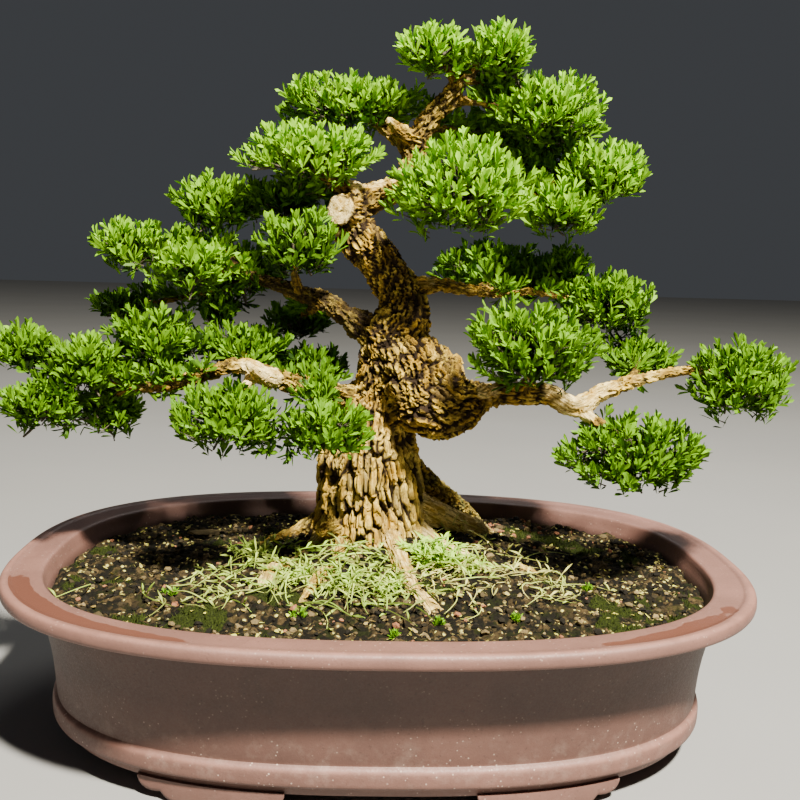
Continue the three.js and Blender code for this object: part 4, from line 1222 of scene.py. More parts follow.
# Where leafy shoots also stand along a limb: from one share of its length to another
SPRAYS = [
    ("left_low", 0.5, 1.0), ("left_middle", 0.55, 1.0), ("left_middle_top_twig", 0.3, 1.0),
    ("left_low_top_twig", 0.2, 1.0), ("left_low_end_twig", 0.0, 1.0),
    ("left_low_hanging_twig", 0.0, 1.0), ("left_far_back_twig", 0.2, 1.0),
    ("left_middle_low_twig", 0.3, 1.0), ("left_inner_twig", 0.5, 1.0), ("left_back_twig", 0.4, 1.0),
    ("left_low_inner_twig", 0.1, 1.0), ("left_low_front_twig", 0.5, 1.0),
    ("left_front_twig", 0.0, 1.0), ("left_low_back_twig", 0.1, 1.0), ("top_left", 0.5, 1.0),
    ("top_left_back", 0.45, 1.0), ("top_left_under_twig", 0.3, 1.0), ("front_bough", 0.5, 1.0),
    ("top_far_right", 0.45, 1.0), ("top_right", 0.55, 1.0), ("top_back_twig", 0.3, 1.0),
    ("top_gap_twig", 0.0, 1.0), ("top_right_front_twig", 0.2, 1.0), ("apex_left_twig", 0.4, 1.0),
    ("apex_low_twig", 0.3, 1.0), ("right_joint_twig", 0.1, 1.0), ("right_back_twig", 0.3, 1.0),
    ("right_middle", 0.5, 1.0), ("right_low_twig", 0.5, 1.0), ("right_front_twig", 0.5, 1.0),
    ("right_small_twig", 0.3, 1.0), ("right_bough", 0.9, 1.0), ("upper", 0.88, 1.0),
    ("left_low", 0.1, 0.27), ("left_low_inner_twig", 0.0, 0.5),
]


def build_sprays(looks, leaf, stem):
    """Leafy shoots along the outer limbs, between the pads"""
    random = np.random.default_rng(SEEDS["sprays"])
    leaves, twigs = Batch(), Batch()
    for name, start, end in SPRAYS:
        line = smooth_line((BRANCHES | TRUNKS)[name], 2.0)
        line = line[int(len(line) * start):int(len(line) * end)]
        count = int(len(line) * 1.15)
        spots = line[random.integers(0, len(line), count)]
        moves = np.diff(line[:, :3], axis=0)
        tangents = unit(np.vstack([moves, moves[-1:]]))
        heading = tangents[random.integers(0, len(line), count)]
        way = random.normal(0, 1.0, (count, 3)) * np.array([1, 1, 0.7])
        way = unit(way + UP * 0.45 + heading * 0.5)
        length = random.uniform(7.0, 17.0, count)
        roots = spots[:, :3] + way * 1.5
        heights = np.clip(way[:, 2], -0.8, 0.8)
        centre = spots[:, :3].mean(0)
        half = np.full(3, 400.0)
        places, colours = shoot_leaves(roots, way, length, heights, centre, half, looks, random)
        # Painted shade of random strength: a depth from 0.2 to 0.7 turns these leaves part way to
        # the inner colour
        colours[..., 1] = random.uniform(0.2, 0.7, (len(colours), 1))
        leaves.add_array(places, LEAF_FACES, colours)
        add_stems(twigs, roots - way * 2, roots + way * length[:, None], 0.7)
    leaves.make("leaves_along_boughs", leaf, "foliage", "leaf", crease=55)
    twigs.make("twigs_along_boughs", stem, "bark", "twig", crease=60)


def build_joining(pads, looks, leaf, stem):
    """Shoots with painted shade, on twigs that reach from each pad towards its neighbours"""
    random = np.random.default_rng(SEEDS["joining"])
    boxes = [np.array(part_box(node)) / MM for node in pads]
    leaves, twigs = Batch(), Batch()
    for first, second in combinations(boxes, 2):
        start, end = first.mean(axis=0), second.mean(axis=0)
        way = end - start
        spans = (first[1] - first[0], second[1] - second[0])
        reach = sum(1 / np.linalg.norm(unit(way) / span * 2) for span in spans)
        if np.linalg.norm(way) > reach * 1.22:
            continue
        count = int(8 + 0.25 * reach)
        share = random.uniform(0.2, 0.8, count)
        sag = -4.0 - 9.0 * np.sin(share * math.pi)
        roots = start + way * share[:, None] + UP * sag[:, None] + random.normal(0, 5.5, (count, 3))
        heading = unit(random.normal(0, 1.0, (count, 3)) * np.array([1, 1, 0.6]) + UP * 0.55)
        length = random.uniform(8.0, 15.0, count)
        # Painted shade: these leaves count as low on a pad, which lowers their tone
        heights = np.full(count, -0.3)
        places, colours = shoot_leaves(
            roots, heading, length, heights, start, np.full(3, 500.0), looks, random)
        # Painted shade: a shallow depth turns these leaves towards the inner colour
        colours[..., 1] = random.uniform(0.1, 0.45, (len(colours), 1))
        leaves.add_array(places, LEAF_FACES, colours)
        middle = (start + end) / 2 - UP * 12
        for hub in (start, end):
            low = (hub + middle) / 2 - UP * 3
            line = smooth_line([(*hub, 1.7), (*low, 1.2), (*middle, 0.7)], 8.0)
            twigs.add(*tube(line, 4), (0.5, 0.3, 0, 0))
        add_stems(twigs, roots - heading, roots + heading * length[:, None], 0.65)
    leaves.make("leaves_joining", leaf, "foliage", "leaf", crease=55)
    twigs.make("twigs_joining", stem, "bark", "twig", crease=60)


def build_pad(node, number, looks, leaf, stem, samples):
    """Leaves and twigs of one pad, held by the nearest limb; returns how many leaves it has"""
    low, high = (np.array(corner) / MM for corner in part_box(node))
    centre, half = (low + high) / 2, (high - low) / 2
    random = np.random.default_rng(SEEDS["pads"] + number)
    roots, directions, lengths, heights = pad_shoots(centre, half, looks, random)
    leaves = Batch()
    places, colours = shoot_leaves(roots, directions, lengths, heights, centre, half, looks, random)
    leaves.add_array(places, LEAF_FACES, colours)
    piece = leaves.make(node.replace("foliage_", "leaves_"), leaf, "foliage", "leaf", crease=55)
    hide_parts(node)

    apart = np.linalg.norm((samples[:, :3] - centre) * np.array([1, 1, 1.3]), axis=1)
    hub = samples[np.argmin(apart)][:3]
    twigs = Batch()
    step = max(1, len(roots) // 16)
    knuckles = roots[::step]
    for knuckle in knuckles:
        middle = (hub + knuckle) / 2 + np.array([0, 0, -2.0]) + random.normal(0, 2.5, 3)
        line = smooth_line([(*hub, 1.8), (*middle, 1.3), (*knuckle, 0.8)], 7.0)
        twigs.add(*tube(line, 4), (0.5, 0.3, 0, 0))
    inward = unit(centre - UP * 2 - roots)
    add_stems(twigs, roots + inward * 5, roots + directions * lengths[:, None], 0.65)
    twigs.make(node.replace("foliage_", "twigs_"), stem, "bark", "twig", crease=60)
    return len(places)


# Soil and what grows on it

def soil_height(x, y):
    along = ((x - SOIL_MOUND_CENTRE[0]) / SOIL_MOUND_REACH[0]) ** 2
    along = along + ((y - SOIL_MOUND_CENTRE[1]) / SOIL_MOUND_REACH[1]) ** 2
    lumps = 1.2 * np.sin(x * 0.09 + 1) * np.cos(y * 0.11) + 0.8 * np.sin(x * 0.05 - y * 0.07)
    return SOIL_EDGE_HEIGHT + SOIL_MOUND_HEIGHT * np.exp(-along) + lumps


def moss_share(x, y):
    """How mossy the soil is at a place, from 0 to 1"""
    patch = layered_noise(np.column_stack([x / 42, y / 42, x * 0 + 3.3]), 11)
    patch = patch + 0.45 * layered_noise(np.column_stack([x / 9, y / 9, x * 0 + 1.7]), 15, 2)
    by_trunk = np.exp(-(((x - 10) / 75) ** 2) - (((y + 40) / 60) ** 2)) * 0.3
    front = np.exp(-(((y + 140) / 35) ** 2) - (((x + 20) / 120) ** 2)) * 0.4
    return smooth_step((patch + by_trunk + front - 0.45) / 0.35)


def ground_height(x, y):
    """The rough top of the soil"""
    flat = np.column_stack([x, y, np.zeros(len(x))])
    moss = moss_share(x, y)
    lumps = 2.6 * layered_noise(flat / 19.0, 31, 2)
    _, near, tone = cell_pattern(np.column_stack([x / 4.9, y / 4.9, np.full(len(x), 0.5)]), 61)
    crumbs = np.sqrt(np.maximum(0.0, 1 - (near / 0.62) ** 2)) * (0.6 + 3.0 * tone)
    cushion = 1.8 + 2.2 * layered_noise(flat / 6.0, 41, 2)
    return soil_height(x, y) + lumps + crumbs * (1 - moss) + cushion * moss - 1.4, tone, moss


def soil_finish(looks):
    r = Recipe("damp_soil")
    tone, moss, _, _ = r.layer("soil")
    place = r.place()
    crumb = r.cells(place, 330.0)
    grit = r.noise(place, 480.0, 4.0, 0.7)
    patch = r.noise(place, 26.0, 4.0, 0.6)
    crumb_tone = r.add("SeparateColor", {"Color": crumb.outputs["Color"]}).outputs[0]
    colour = r.mix(r.band(tone, 0.55, 1.0, 0.0, 0.7), looks.soil, looks.soil_pale)
    colour = r.mix(r.band(crumb_tone, 0.7, 1.0, 0.0, 0.7), colour, tinted(looks.soil_pale, 1.3))
    colour = r.mix(r.band(grit, 0.45, 0.7, 0.0, 0.5), colour, tinted(looks.soil, 0.5))
    colour = r.mix(r.band(patch, 0.55, 0.75, 0.0, 0.4), colour, tinted(looks.soil_pale, 0.8))
    film = r.band(r.noise(place, 110.0, 5.0, 0.7), 0.48, 0.64, 0.0, 0.6)
    colour = r.mix(film, colour, tinted(looks.moss, 0.55))
    apart = crumb.outputs["Distance"]
    fleck = r.sum("MULTIPLY", r.band(crumb_tone, 0.86, 0.94), r.band(apart, 0.5, 0.3))
    colour = r.mix(fleck, colour, (0.50, 0.46, 0.13))
    tuft = r.noise(place, 900.0, 3.0, 0.7)
    green = r.mix(r.band(tuft, 0.35, 0.65), tinted(looks.moss, 0.35), tinted(looks.moss, 1.5))
    ragged = r.sum("MULTIPLY", r.noise(place, 150.0, 4.0, 0.7), 0.6)
    moss_there = r.band(r.sum("ADD", moss, ragged), 0.55, 0.85)
    colour = r.mix(moss_there, colour, green)
    height = r.sum("ADD", r.sum("MULTIPLY", grit, 0.7), r.sum("MULTIPLY", tuft, moss_there))
    height = r.sum("SUBTRACT", height, apart)
    return r.finish(colour, 0.92, r.bump(height, 1.0, 0.0022), Specular_IOR_Level=0.1)


# The soil below its top, going down inside the pot: (inset from the pot's outline, height)
SOIL_RINGS = ((41.3, 60.3), (48.3, 31.3), (55.3, 25.3))


def build_soil(looks, finish):
    """The soil's rough top, with plain sides and a plain base inside the pot"""
    columns = looks.cells
    rows = int(columns * 0.78)
    u, v = np.meshgrid(np.linspace(-1, 1, columns + 1), np.linspace(-1, 1, rows + 1))
    u, v = u.ravel(), v.ravel()
    edge = np.maximum(np.abs(u), np.abs(v))
    round_edge = (np.abs(u) ** OVAL_POWER + np.abs(v) ** OVAL_POWER) ** (1 / OVAL_POWER)
    inward = np.where(edge > 0, edge / np.maximum(round_edge, 1e-9), 1.0)
    half = POT_HALF - SOIL_EDGE_INSET
    x, y = u * inward * half[0], v * inward * half[1]
    height, tone, moss = ground_height(x, y)
    height -= 2.0 * smooth_step((edge - 0.97) / 0.03)
    places = [np.column_stack([x, y, height])]
    faces = []
    stride = columns + 1
    for row in range(rows):
        for column in range(columns):
            first = row * stride + column
            faces.append([first, first + 1, first + stride + 1, first + stride])
    border = (
        list(range(columns)) + [row * stride + columns for row in range(rows)]
        + [rows * stride + column for column in range(columns, 0, -1)]
        + [row * stride for row in range(rows, 0, -1)]
    )
    count = len(u)
    above = border
    for inset, level in SOIL_RINGS:
        across, over = (POT_HALF - inset) / half
        ring = list(range(count, count + len(border)))
        flat = np.full(len(border), level)
        places.append(np.column_stack([x[border] * across, y[border] * over, flat]))
        for index in range(len(border)):
            step = (index + 1) % len(border)
            faces.append([above[index], ring[index], ring[step], above[step]])
        above = ring
        count += len(border)
    places.append(np.array([[0.0, 0.0, SOIL_RINGS[-1][1]]]))
    for index in range(len(border)):
        faces.append([above[index], count, above[(index + 1) % len(border)]])
    extra = count + 1 - len(u)
    layer = np.column_stack([tone, moss, np.zeros(len(u)), np.ones(len(u))])
    layer = np.vstack([layer, np.tile([0.2, 0, 0, 1], (extra, 1))])
    piece = make_piece(
        "soil_bed", np.vstack(places), faces, finish, {"soil": layer}, crease=75)
    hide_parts("soil")


# The foot of the trunk on the soil, and how far loose things keep from it
TRUNK_FOOT = np.array([-8, 25])
TRUNK_CLEARANCE = 48.0
SCATTER_MARGIN = 44.0


def scattered(count, random):
    """Random places on the soil's oval, clear of the trunk"""
    found = np.zeros((0, 2))
    half = POT_HALF - SCATTER_MARGIN
    while len(found) < count:
        trial = random.uniform(-1, 1, (count * 2, 2))
        inside = (np.abs(trial) ** OVAL_POWER).sum(1) < 1
        trial = trial[inside] * half
        clear = np.linalg.norm((trial - TRUNK_FOOT) / TRUNK_CLEARANCE, axis=1) > 1
        found = np.vstack([found, trial[clear]])
    return found[:count]


def icosahedron():
    """The 12 corners and 20 outward faces of an icosahedron of radius 1"""
    golden = (1 + math.sqrt(5)) / 2
    points = []
    for a, b in product((-1, 1), (-golden, golden)):
        points += [(a, b, 0), (0, a, b), (b, 0, a)]
    points = unit(np.array(points, dtype=float))
    faces = []
    for i, j, k in product(range(12), repeat=3):
        if i < j and i < k and j != k:
            sides = [np.linalg.norm(points[m] - points[n]) for m, n in ((i, j), (j, k), (k, i))]
            normal = np.cross(points[j] - points[i], points[k] - points[i])
            if max(sides) < 1.1 and np.dot(normal, points[i]) > 0:
                faces.append([i, j, k])
    return points, faces


def grain_finish():
    r = Recipe("soil_grains")
    tone, red, _, _ = r.layer("grain_tone")
    place = r.place()
    pit = r.noise(place, 650.0, 4.0, 0.7)
    colour = r.mix(r.band(tone, 0.0, 1.0), (0.006, 0.005, 0.003), (0.20, 0.145, 0.06))
    colour = r.mix(red, colour, (0.28, 0.115, 0.055))
    colour = r.mix(r.band(pit, 0.45, 0.7, 0.0, 0.5), colour, (0.02, 0.015, 0.01))
    return r.finish(colour, 0.88, r.bump(pit, 0.9, 0.0009), Specular_IOR_Level=0.15)


# Where coarse reddish crumbs gather at the back right, and how far they spread
CRUMBS_PLACE = np.array([115, 105])
CRUMBS_REACH = np.array([55, 40])

# A flat chip of stone on the left
CHIP_PLACE = (-145.0, 88.0)
CHIP_HALF = np.array([24.0, 9.0, 2.4])


def build_grains(looks, finish):
    """Loose grains, the coarse crumbs among them, and one flat chip"""
    random = np.random.default_rng(SEEDS["grains"])
    spots = scattered(looks.grains, random)
    points, faces = icosahedron()
    away = ((spots - CRUMBS_PLACE) / CRUMBS_REACH) ** 2
    coarse = np.exp(-away[:, 0] - away[:, 1])
    size = 1.1 + 2.0 * random.random(len(spots)) ** 2.2
    size = size + 1.5 * coarse * random.random(len(spots))
    height, _, moss = ground_height(spots[:, 0], spots[:, 1])
    bare = moss < 0.7
    spots, size, height, coarse = spots[bare], size[bare], height[bare], coarse[bare]
    shape = points[None] * (1 + random.normal(0, 0.16, (len(spots), 12, 1)))
    shape = shape * (size[:, None] * random.uniform(0.75, 1.25, (len(spots), 3)))[:, None, :]
    turn = random.random(len(spots)) * 6.3
    x = shape[..., 0] * np.cos(turn)[:, None] - shape[..., 1] * np.sin(turn)[:, None]
    y = shape[..., 0] * np.sin(turn)[:, None] + shape[..., 1] * np.cos(turn)[:, None]
    centre = np.column_stack([spots, height + size * 0.25])
    places = np.stack([x, y, shape[..., 2] * 0.8], axis=-1) + centre[:, None, :]
    tone = random.random(len(spots)) ** 3.2
    red = (random.random(len(spots)) < 0.05 + 0.6 * coarse) * 0.9
    colours = np.zeros((len(spots), 12, 4))
    colours[..., 0] = tone[:, None]
    colours[..., 1] = red[:, None]
    batch = Batch()
    batch.add_array(places, faces, colours)
    chip = points * CHIP_HALF * random.uniform(0.85, 1.1, (12, 1))
    chip = chip + np.array([*CHIP_PLACE, ground_top(*CHIP_PLACE) + 2.0])
    batch.add(chip, faces, (0.75, 0, 0, 0))
    batch.make("soil_grains", finish, "earth", "grain_tone", crease=40)


def blade_line(start, heading, length, rise, droop, curl, steps, width):
    """A bending line for a grass stem that follows the ground"""
    rows = []
    turn = heading
    x, y = start
    base = float(ground_top(x, y))
    for step in range(steps + 1):
        share = step / steps
        lift = rise * math.sin(min(1.0, share * droop) * math.pi) + 1.0
        level = max(float(ground_top(x, y)) + 0.6, base + lift - 4.0 * share)
        rows.append((x, y, level, width * (1 - 0.65 * share)))
        x += math.cos(turn) * length / steps
        y += math.sin(turn) * length / steps
        turn += curl / steps
    return np.array(rows)


def ground_top(x, y):
    """The height of the rough soil at one place"""
    height, _, _ = ground_height(np.array([float(x)]), np.array([float(y)]))
    return height[0]


def grass_finish(looks):
    r = Recipe("tangled_grass")
    tone, dry, _, _ = r.layer("grass")
    place = r.place()
    streak = r.noise(place, 300.0, 2.0, 0.5)
    colour = r.mix(tone, tinted(looks.grass, 0.3), tinted(looks.grass, 1.3))
    colour = r.mix(dry, colour, (0.58, 0.50, 0.17))
    colour = r.mix(r.band(streak, 0.4, 0.7, 0.0, 0.35), colour, tinted(looks.grass, 0.5))
    return r.finish(colour, 0.6, r.bump(streak, 0.3, 0.0003), Specular_IOR_Level=0.2)


def add_strand(batch, line, tone, dry, leaflets, random):
    """A thin stem along a line, with short leaflets"""
    batch.add(*tube(line, 3), (tone, dry, 0, 1))
    for _ in range(leaflets):
        spot = line[random.integers(1, len(line))]
        way = unit(np.append(random.normal(0, 1, 2), 0.25 + 0.5 * random.random()))
        size = 5.0 + 8.0 * random.random()
        middle = spot[:3] + way * size * 0.5 + UP * 0.8
        leaf = np.array([[*spot[:3], 0.35], [*middle, 0.95], [*(spot[:3] + way * size), 0.25]])
        batch.add(*tube(leaf, 3), (min(1, tone + 0.15), dry, 0, 1))


def build_grass(finish):
    """Tufts of thin bending stems"""
    tufts = sorted(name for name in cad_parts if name.startswith("grass_"))
    for number, node in enumerate(tufts):
        random = np.random.default_rng(SEEDS["grass"] + number)
        low, high = (np.array(corner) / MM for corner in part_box(node))
        centre = (low + high)[:2] / 2
        spread = float((high - low)[:2].mean() / 2)
        batch = Batch()
        for _ in range(28):
            start = centre + random.normal(0, spread * 0.33, 2)
            line = blade_line(
                start, random.random() * 6.3, spread * (0.6 + 0.7 * random.random()),
                3 + 9 * random.random(), 0.55 + 0.5 * random.random(), random.normal(0, 1.1), 7,
                0.6 + 0.45 * random.random(),
            )
            add_strand(batch, line, random.random(), random.random() * 0.3, 3, random)
        piece = batch.make(
            node.replace("grass_", "grass_tuft_"), finish, "grass", "grass", crease=80)
        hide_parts(node)


def build_herb(finish):
    """Feathery herb with many short leaflets on upright stems"""
    random = np.random.default_rng(SEEDS["herb"])
    low, high = (np.array(corner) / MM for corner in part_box("herb_front"))
    centre = (low + high)[:2] / 2
    batch = Batch()
    for _ in range(16):
        start = centre + random.normal(0, 5.0, 2)
        heading = random.random() * 6.3
        lean = 6 + 10 * random.random()
        height = 9 + 12 * random.random()
        ground = ground_top(*start)
        end = np.array([
            start[0] + math.cos(heading) * lean, start[1] + math.sin(heading) * lean,
            ground + height,
        ])
        middle = (np.array([*start, ground]) + end) / 2 + UP * 3
        line = smooth_line([(*start, ground - 1, 0.5), (*middle, 0.45), (*end, 0.3)], 3.0)
        add_strand(batch, line, 0.85, 0.0, 22, random)
    piece = batch.make("feathery_herb", finish, "grass", "grass", crease=80)
    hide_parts("herb_front")


def build_tangle(finish):
    """Thin stems that lie across each other round the roots"""
    random = np.random.default_rng(SEEDS["tangle"])
    batch = Batch()
    for _ in range(120):
        start = np.array([-45.0, -55.0]) + random.normal(0, 1, 2) * np.array([52.0, 26.0])
        line = blade_line(
            start, random.normal(-0.6, 1.3), 28 + 34 * random.random(), 2 + 8 * random.random(),
            0.7 + 0.4 * random.random(), random.normal(0, 1.4), 8, 0.55 + 0.45 * random.random(),
        )
        add_strand(batch, line, random.random(), random.random() * 0.4, 2, random)
    for _ in range(70):
        start = np.array([75.0, -40.0]) + random.normal(0, 1, 2) * np.array([42.0, 34.0])
        line = blade_line(
            start, random.normal(-0.3, 1.4), 22 + 26 * random.random(), 2 + 6 * random.random(),
            0.8, random.normal(0, 1.2), 7, 0.35 + 0.25 * random.random(),
        )
        add_strand(batch, line, random.random() * 0.7, 0.3 + random.random() * 0.7, 2, random)
    batch.make("stem_tangle", finish, "grass", "grass", crease=80)


def moss_finish(looks):
    r = Recipe("moss_tips")
    tone, _, _, _ = r.layer("moss")
    streak = r.noise(r.place(), 500.0, 2.0)
    colour = r.mix(tone, tinted(looks.moss, 0.35), tinted(looks.moss, 1.7))
    colour = r.mix(r.band(streak, 0.4, 0.7, 0.0, 0.4), colour, tinted(looks.moss, 0.7))
    return r.finish(colour, 0.8, Specular_IOR_Level=0.1)


# Places tried for moss tips, and how many tips are kept of those that fall on moss
MOSS_TRIES = 16000
MOSS_TIPS = 3400


def build_moss(finish):
    """Short pointed tips that stand up over the mossy soil"""
    random = np.random.default_rng(SEEDS["moss"])
    spots = scattered(MOSS_TRIES, random)
    height, _, moss = ground_height(spots[:, 0], spots[:, 1])
    mossy = moss > 0.55
    spots, height = spots[mossy][:MOSS_TIPS], height[mossy][:MOSS_TIPS]
    count = len(spots)
    turn = random.random((count, 1)) * 6.3 + np.arange(3)[None, :] * 2 * math.pi / 3
    size = 0.5 + 0.45 * random.random(count)
    base = np.stack([
        spots[:, :1] + np.cos(turn) * size[:, None], spots[:, 1:] + np.sin(turn) * size[:, None],
        np.repeat(height[:, None] - 0.8, 3, axis=1),
    ], axis=-1)
    lean = random.normal(0, 1.0, (count, 2))
    tip = np.column_stack([spots + lean, height + 1.6 + 2.2 * random.random(count)])
    places = np.concatenate([base, tip[:, None, :]], axis=1)
    colours = np.zeros((count, 4, 4))
    colours[..., 0] = random.random(count)[:, None]
    colours[:, 3, 0] = 1.0
    batch = Batch()
    batch.add_array(places, SPIKE_FACES, colours)
    batch.make("moss_tips", finish, "foliage", "moss", crease=80)


def litter_finish():
    r = Recipe("fallen_leaf")
    tone, _, _, _ = r.layer("leaf")
    spot = r.noise(r.place(), 330.0, 3.0)
    colour = r.mix(tone, (0.17, 0.10, 0.025), (0.50, 0.50, 0.06))
    colour = r.mix(r.band(spot, 0.5, 0.7, 0.0, 0.5), colour, (0.12, 0.07, 0.03))
    return r.finish(colour, 0.7)


# Where seedlings stand on the soil
SEEDLINGS = [(37, -138), (2, -150), (152, -62), (-60, -128), (-150, -80), (90, -120)]

FALLEN_LEAVES = 560


def build_litter(looks, finish):
    """Fallen leaves on the soil"""
    random = np.random.default_rng(SEEDS["litter"])
    count = FALLEN_LEAVES
    spots = scattered(count, random)
    height, _, _ = ground_height(spots[:, 0], spots[:, 1])
    turn = random.random(count) * 6.3
    along = unit(np.column_stack([np.cos(turn), np.sin(turn), random.normal(0, 0.3, count)]))
    upper = unit(UP + random.normal(0, 0.35, (count, 3)))
    upper = unit(upper - along * (upper * along).sum(1)[:, None])
    root = np.column_stack([spots, height + 1.0]) - along * 3.0
    length = looks.length * random.uniform(0.22, 0.58, count)
    width = looks.width * random.uniform(0.6, 1.0, count)
    fold = random.uniform(0.0, 0.5, count)
    bend = random.uniform(-0.1, 0.15, count)
    places = leaf_places(root, along, upper, length, width, fold, bend)
    batch = Batch()
    batch.add_array(places, LEAF_FACES, leaf_colours(random.random(count), np.ones(count)))
    batch.make("fallen_leaves", finish, "foliage", "leaf", crease=55)


def build_seedlings(looks, leaf):
    """Small bright seedlings that come up through the soil"""
    random = np.random.default_rng(SEEDS["seedlings"])
    leaves = Batch()
    for x, y in SEEDLINGS:
        roots = np.array([[x, y, 0.0]]) + random.normal(0, 4.0, (5, 3)) * np.array([1, 1, 0])
        roots[:, 2] = ground_height(roots[:, 0], roots[:, 1])[0]
        way = unit(random.normal(0, 0.35, (5, 3)) + UP)
        length = random.uniform(3.0, 6.0, 5)
        places, colours = shoot_leaves(
            roots, way, length, np.full(5, 0.9), roots[0], np.full(3, 300.0), looks, random)
        colours[..., 1] = 1.0
        leaves.add_array(0.45 * places + 0.55 * roots[0], LEAF_FACES, colours)
    leaves.make("seedlings", leaf, "grass", "leaf", crease=55)


# Drainage screens and their clips

def screen_finish():
    r = Recipe("moulded_screen")
    cloud = r.noise(r.place(), 240.0, 4.0)
    colour = r.mix(r.band(cloud, 0.35, 0.65), (0.016, 0.035, 0.02), (0.03, 0.055, 0.033))
    return r.finish(colour, r.band(cloud, 0.3, 0.7, 0.42, 0.62), r.bump(cloud, 0.3, 0.0003))


def wire_finish():
    r = Recipe("drawn_wire")
    line = r.noise(r.stretched(r.place(), (60.0, 900.0, 900.0)), 1.0, 3.0)
    colour = r.mix(r.band(line, 0.35, 0.65), (0.40, 0.40, 0.41), (0.62, 0.62, 0.63))
    rough = r.band(line, 0.3, 0.7, 0.3, 0.5)
    return r.finish(colour, rough, r.bump(line, 0.3, 0.0002), Metallic=1.0)


def give_finish(node, finish):
    """A new material on a solid whose shape is already right"""
    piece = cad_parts[node]
    for slot in piece.material_slots:
        slot.material = finish


# Operators

class BuildPot(bpy.types.Operator):
    """Make the clay pot with its lip, belt and cloud-shaped feet"""

    bl_idname = "bonsai.build_pot"
    bl_label = "Clay pot"

    def execute(self, context):
        looks = context.scene.bonsai_pot
        build_pot(looks, clay_finish(looks))
        return {"FINISHED"}


class BuildDrainage(bpy.types.Operator):
    """Give the drainage screens and their clips their finishes"""

    bl_idname = "bonsai.build_drainage"
    bl_label = "Drainage screens"

    def execute(self, context):
        plastic, wire = screen_finish(), wire_finish()
        for side in ("left", "right"):
            give_finish(f"drain_screen_{side}", plastic)
            give_finish(f"screen_clip_{side}", wire)
        return {"FINISHED"}


class BuildWood(bpy.types.Operator):
    """Carve the trunk, boughs, stubs and roots with corky bark"""

    bl_idname = "bonsai.build_wood"
    bl_label = "Trunk and boughs"

    def execute(self, context):
        looks = context.scene.bonsai_wood
        build_wood(looks, bark_finish(looks))
        return {"FINISHED"}


class BuildLeaves(bpy.types.Operator):
    """Fill each leafy pad with twigs, shoots and leaves"""

    bl_idname = "bonsai.build_leaves"
    bl_label = "Leafy pads"

    def execute(self, context):
        looks = context.scene.bonsai_leaf
        leaf, stem = leaf_finish(looks), stem_finish(looks)
        samples = limb_samples()
        pads = sorted(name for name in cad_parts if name.startswith("foliage_"))
        total = sum(
            build_pad(node, number, looks, leaf, stem, samples)
            for number, node in enumerate(pads)
        )
        if total == 0:
            raise RuntimeError("no leaves were made")
        build_sprays(looks, leaf, stem)
        build_joining(pads, looks, leaf, stem)
        return {"FINISHED"}


class BuildGround(bpy.types.Operator):
    """Make the soil with its grains, moss and fallen leaves"""

    bl_idname = "bonsai.build_ground"
    bl_label = "Soil and moss"

    def execute(self, context):
        looks = context.scene.bonsai_ground
        build_soil(looks, soil_finish(looks))
        build_grains(looks, grain_finish())
        build_moss(moss_finish(looks))
        build_litter(context.scene.bonsai_leaf, litter_finish())
        build_seedlings(context.scene.bonsai_leaf, leaf_finish(context.scene.bonsai_leaf))
        return {"FINISHED"}


class BuildGrass(bpy.types.Operator):
    """Grow the grass tufts, the feathery herb and the tangle round the roots"""

    bl_idname = "bonsai.build_grass"
    bl_label = "Grass and herb"

    def execute(self, context):
        finish = grass_finish(context.scene.bonsai_ground)
        build_grass(finish)
        build_herb(finish)
        build_tangle(finish)
        return {"FINISHED"}


FLOOR_REACH = 9.0
FLOOR_COLOURS = ((0.20, 0.198, 0.193), (0.23, 0.228, 0.222))
WORLD_COLOUR = (0.82, 0.87, 0.95, 1)
WORLD_STRENGTH = 0.06

# (name, place, size, power, colour)
LIGHTS = [
    ("key", (0.80, -1.95, 2.93), 0.24, 800.0, (1.0, 0.95, 0.83)),
    ("fill", (-1.4, -1.3, 0.9), 1.2, 0.8, (0.87, 0.93, 1.0)),
    ("back", (0.3, 1.3, 1.6), 0.9, 11.0, (1.0, 0.98, 0.94)),
]
LIGHTS_LOOK_AT = (0.0, 0.0, 0.24)

# The camera's own right, up and backward directions, and its place
CAMERA_FRAME = (
    (0.99895, -0.0363, 0.02784), (-0.02263, 0.13669, 0.99035), (-0.03976, -0.98995, 0.13572),
    (-0.0218, -0.8434, 0.3615),
)
CAMERA_LENS = 49.5
CAMERA_SENSOR = 36.0


class BuildStage(bpy.types.Operator):
    """Set the pale floor, the lights and the camera"""

    bl_idname = "bonsai.build_stage"
    bl_label = "Floor, lights and camera"

    def execute(self, context):
        reach = FLOOR_REACH
        corners = [(-reach, -reach, 0), (reach, -reach, 0), (reach, reach, 0), (-reach, reach, 0)]
        floor_mesh = bpy.data.meshes.new("floor")
        floor_mesh.from_pydata(corners, [], [[0, 1, 2, 3]])
        floor = bpy.data.objects.new("floor", floor_mesh)
        context.scene.collection.objects.link(floor)
        r = Recipe("pale_floor")
        cloud = r.noise(r.place(), 3.0)
        floor_mesh.materials.append(r.finish(r.mix(cloud, *FLOOR_COLOURS), 0.85))

        world = bpy.data.worlds.new("studio")
        context.scene.world = world
        world.use_nodes = True
        sky = world.node_tree.nodes["Background"].inputs
        sky["Color"].default_value = WORLD_COLOUR
        sky["Strength"].default_value = WORLD_STRENGTH

        for light in LIGHTS:
            add_light(context, *light)

        camera_data = bpy.data.cameras.new("camera")
        camera_data.lens = CAMERA_LENS
        camera_data.sensor_width = CAMERA_SENSOR
        camera = bpy.data.objects.new("camera", camera_data)
        context.scene.collection.objects.link(camera)
        camera.matrix_world = placed(*CAMERA_FRAME)
        context.scene.camera = camera
        return {"FINISHED"}


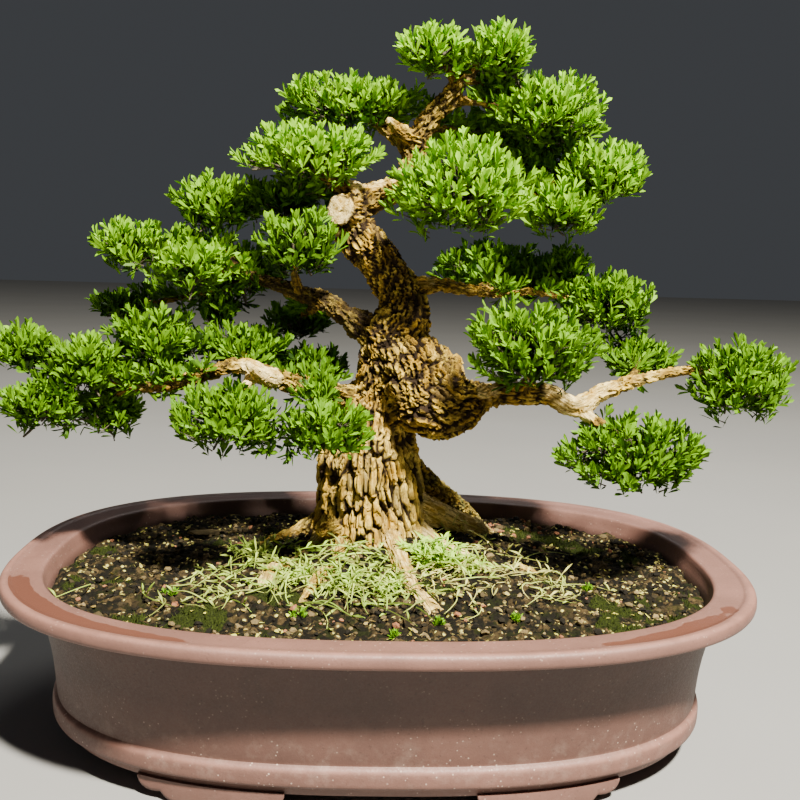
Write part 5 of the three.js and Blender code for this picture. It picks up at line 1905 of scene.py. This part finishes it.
def placed(right, up, back, place):
    """Matrix of a camera or light from its own directions and its place"""
    return Matrix([*np.column_stack([right, up, back, place]).tolist(), [0, 0, 0, 1]])


def add_light(context, name, place, size, power, colour):
    """A square soft light that looks at the middle of the tree"""
    data = bpy.data.lights.new(name, "AREA")
    data.size = size
    data.energy = power
    data.color = colour
    lamp = bpy.data.objects.new(name, data)
    context.scene.collection.objects.link(lamp)
    back = unit(np.array(place) - np.array(LIGHTS_LOOK_AT))
    right = unit(np.cross(UP, back))
    lamp.matrix_world = placed(right, np.cross(back, right), back, place)


OPERATORS = (BuildPot, BuildDrainage, BuildWood, BuildLeaves, BuildGround, BuildGrass, BuildStage)

LOOKS = {
    "bonsai_pot": PotLooks, "bonsai_wood": WoodLooks, "bonsai_leaf": LeafLooks,
    "bonsai_ground": GroundLooks,
}


class BonsaiPanel(bpy.types.Panel):
    """Lists the pieces of the bonsai in the sidebar"""

    bl_idname = "VIEW3D_PT_bonsai"
    bl_label = "Bonsai"
    bl_space_type = "VIEW_3D"
    bl_region_type = "UI"
    bl_category = "Bonsai"

    def draw(self, context):
        for operator in OPERATORS:
            self.layout.operator(operator.bl_idname)
        for looks in LOOKS:
            group = getattr(context.scene, looks)
            column = self.layout.column()
            for key in group.__annotations__:
                column.prop(group, key)


def register():
    for group in LOOKS.values():
        bpy.utils.register_class(group)
    for operator in OPERATORS:
        bpy.utils.register_class(operator)
    bpy.utils.register_class(BonsaiPanel)
    for key, group in LOOKS.items():
        setattr(bpy.types.Scene, key, PointerProperty(type=group))


def unregister():
    for key in LOOKS:
        delattr(bpy.types.Scene, key)
    bpy.utils.unregister_class(BonsaiPanel)
    for operator in reversed(OPERATORS):
        bpy.utils.unregister_class(operator)
    for group in LOOKS.values():
        bpy.utils.unregister_class(group)


def main():
    register()
    bpy.ops.bonsai.build_pot()
    bpy.ops.bonsai.build_drainage()
    bpy.ops.bonsai.build_wood()
    bpy.ops.bonsai.build_leaves()
    bpy.ops.bonsai.build_ground()
    bpy.ops.bonsai.build_grass()
    bpy.ops.bonsai.build_stage()


if __name__ == "__main__":
    main()
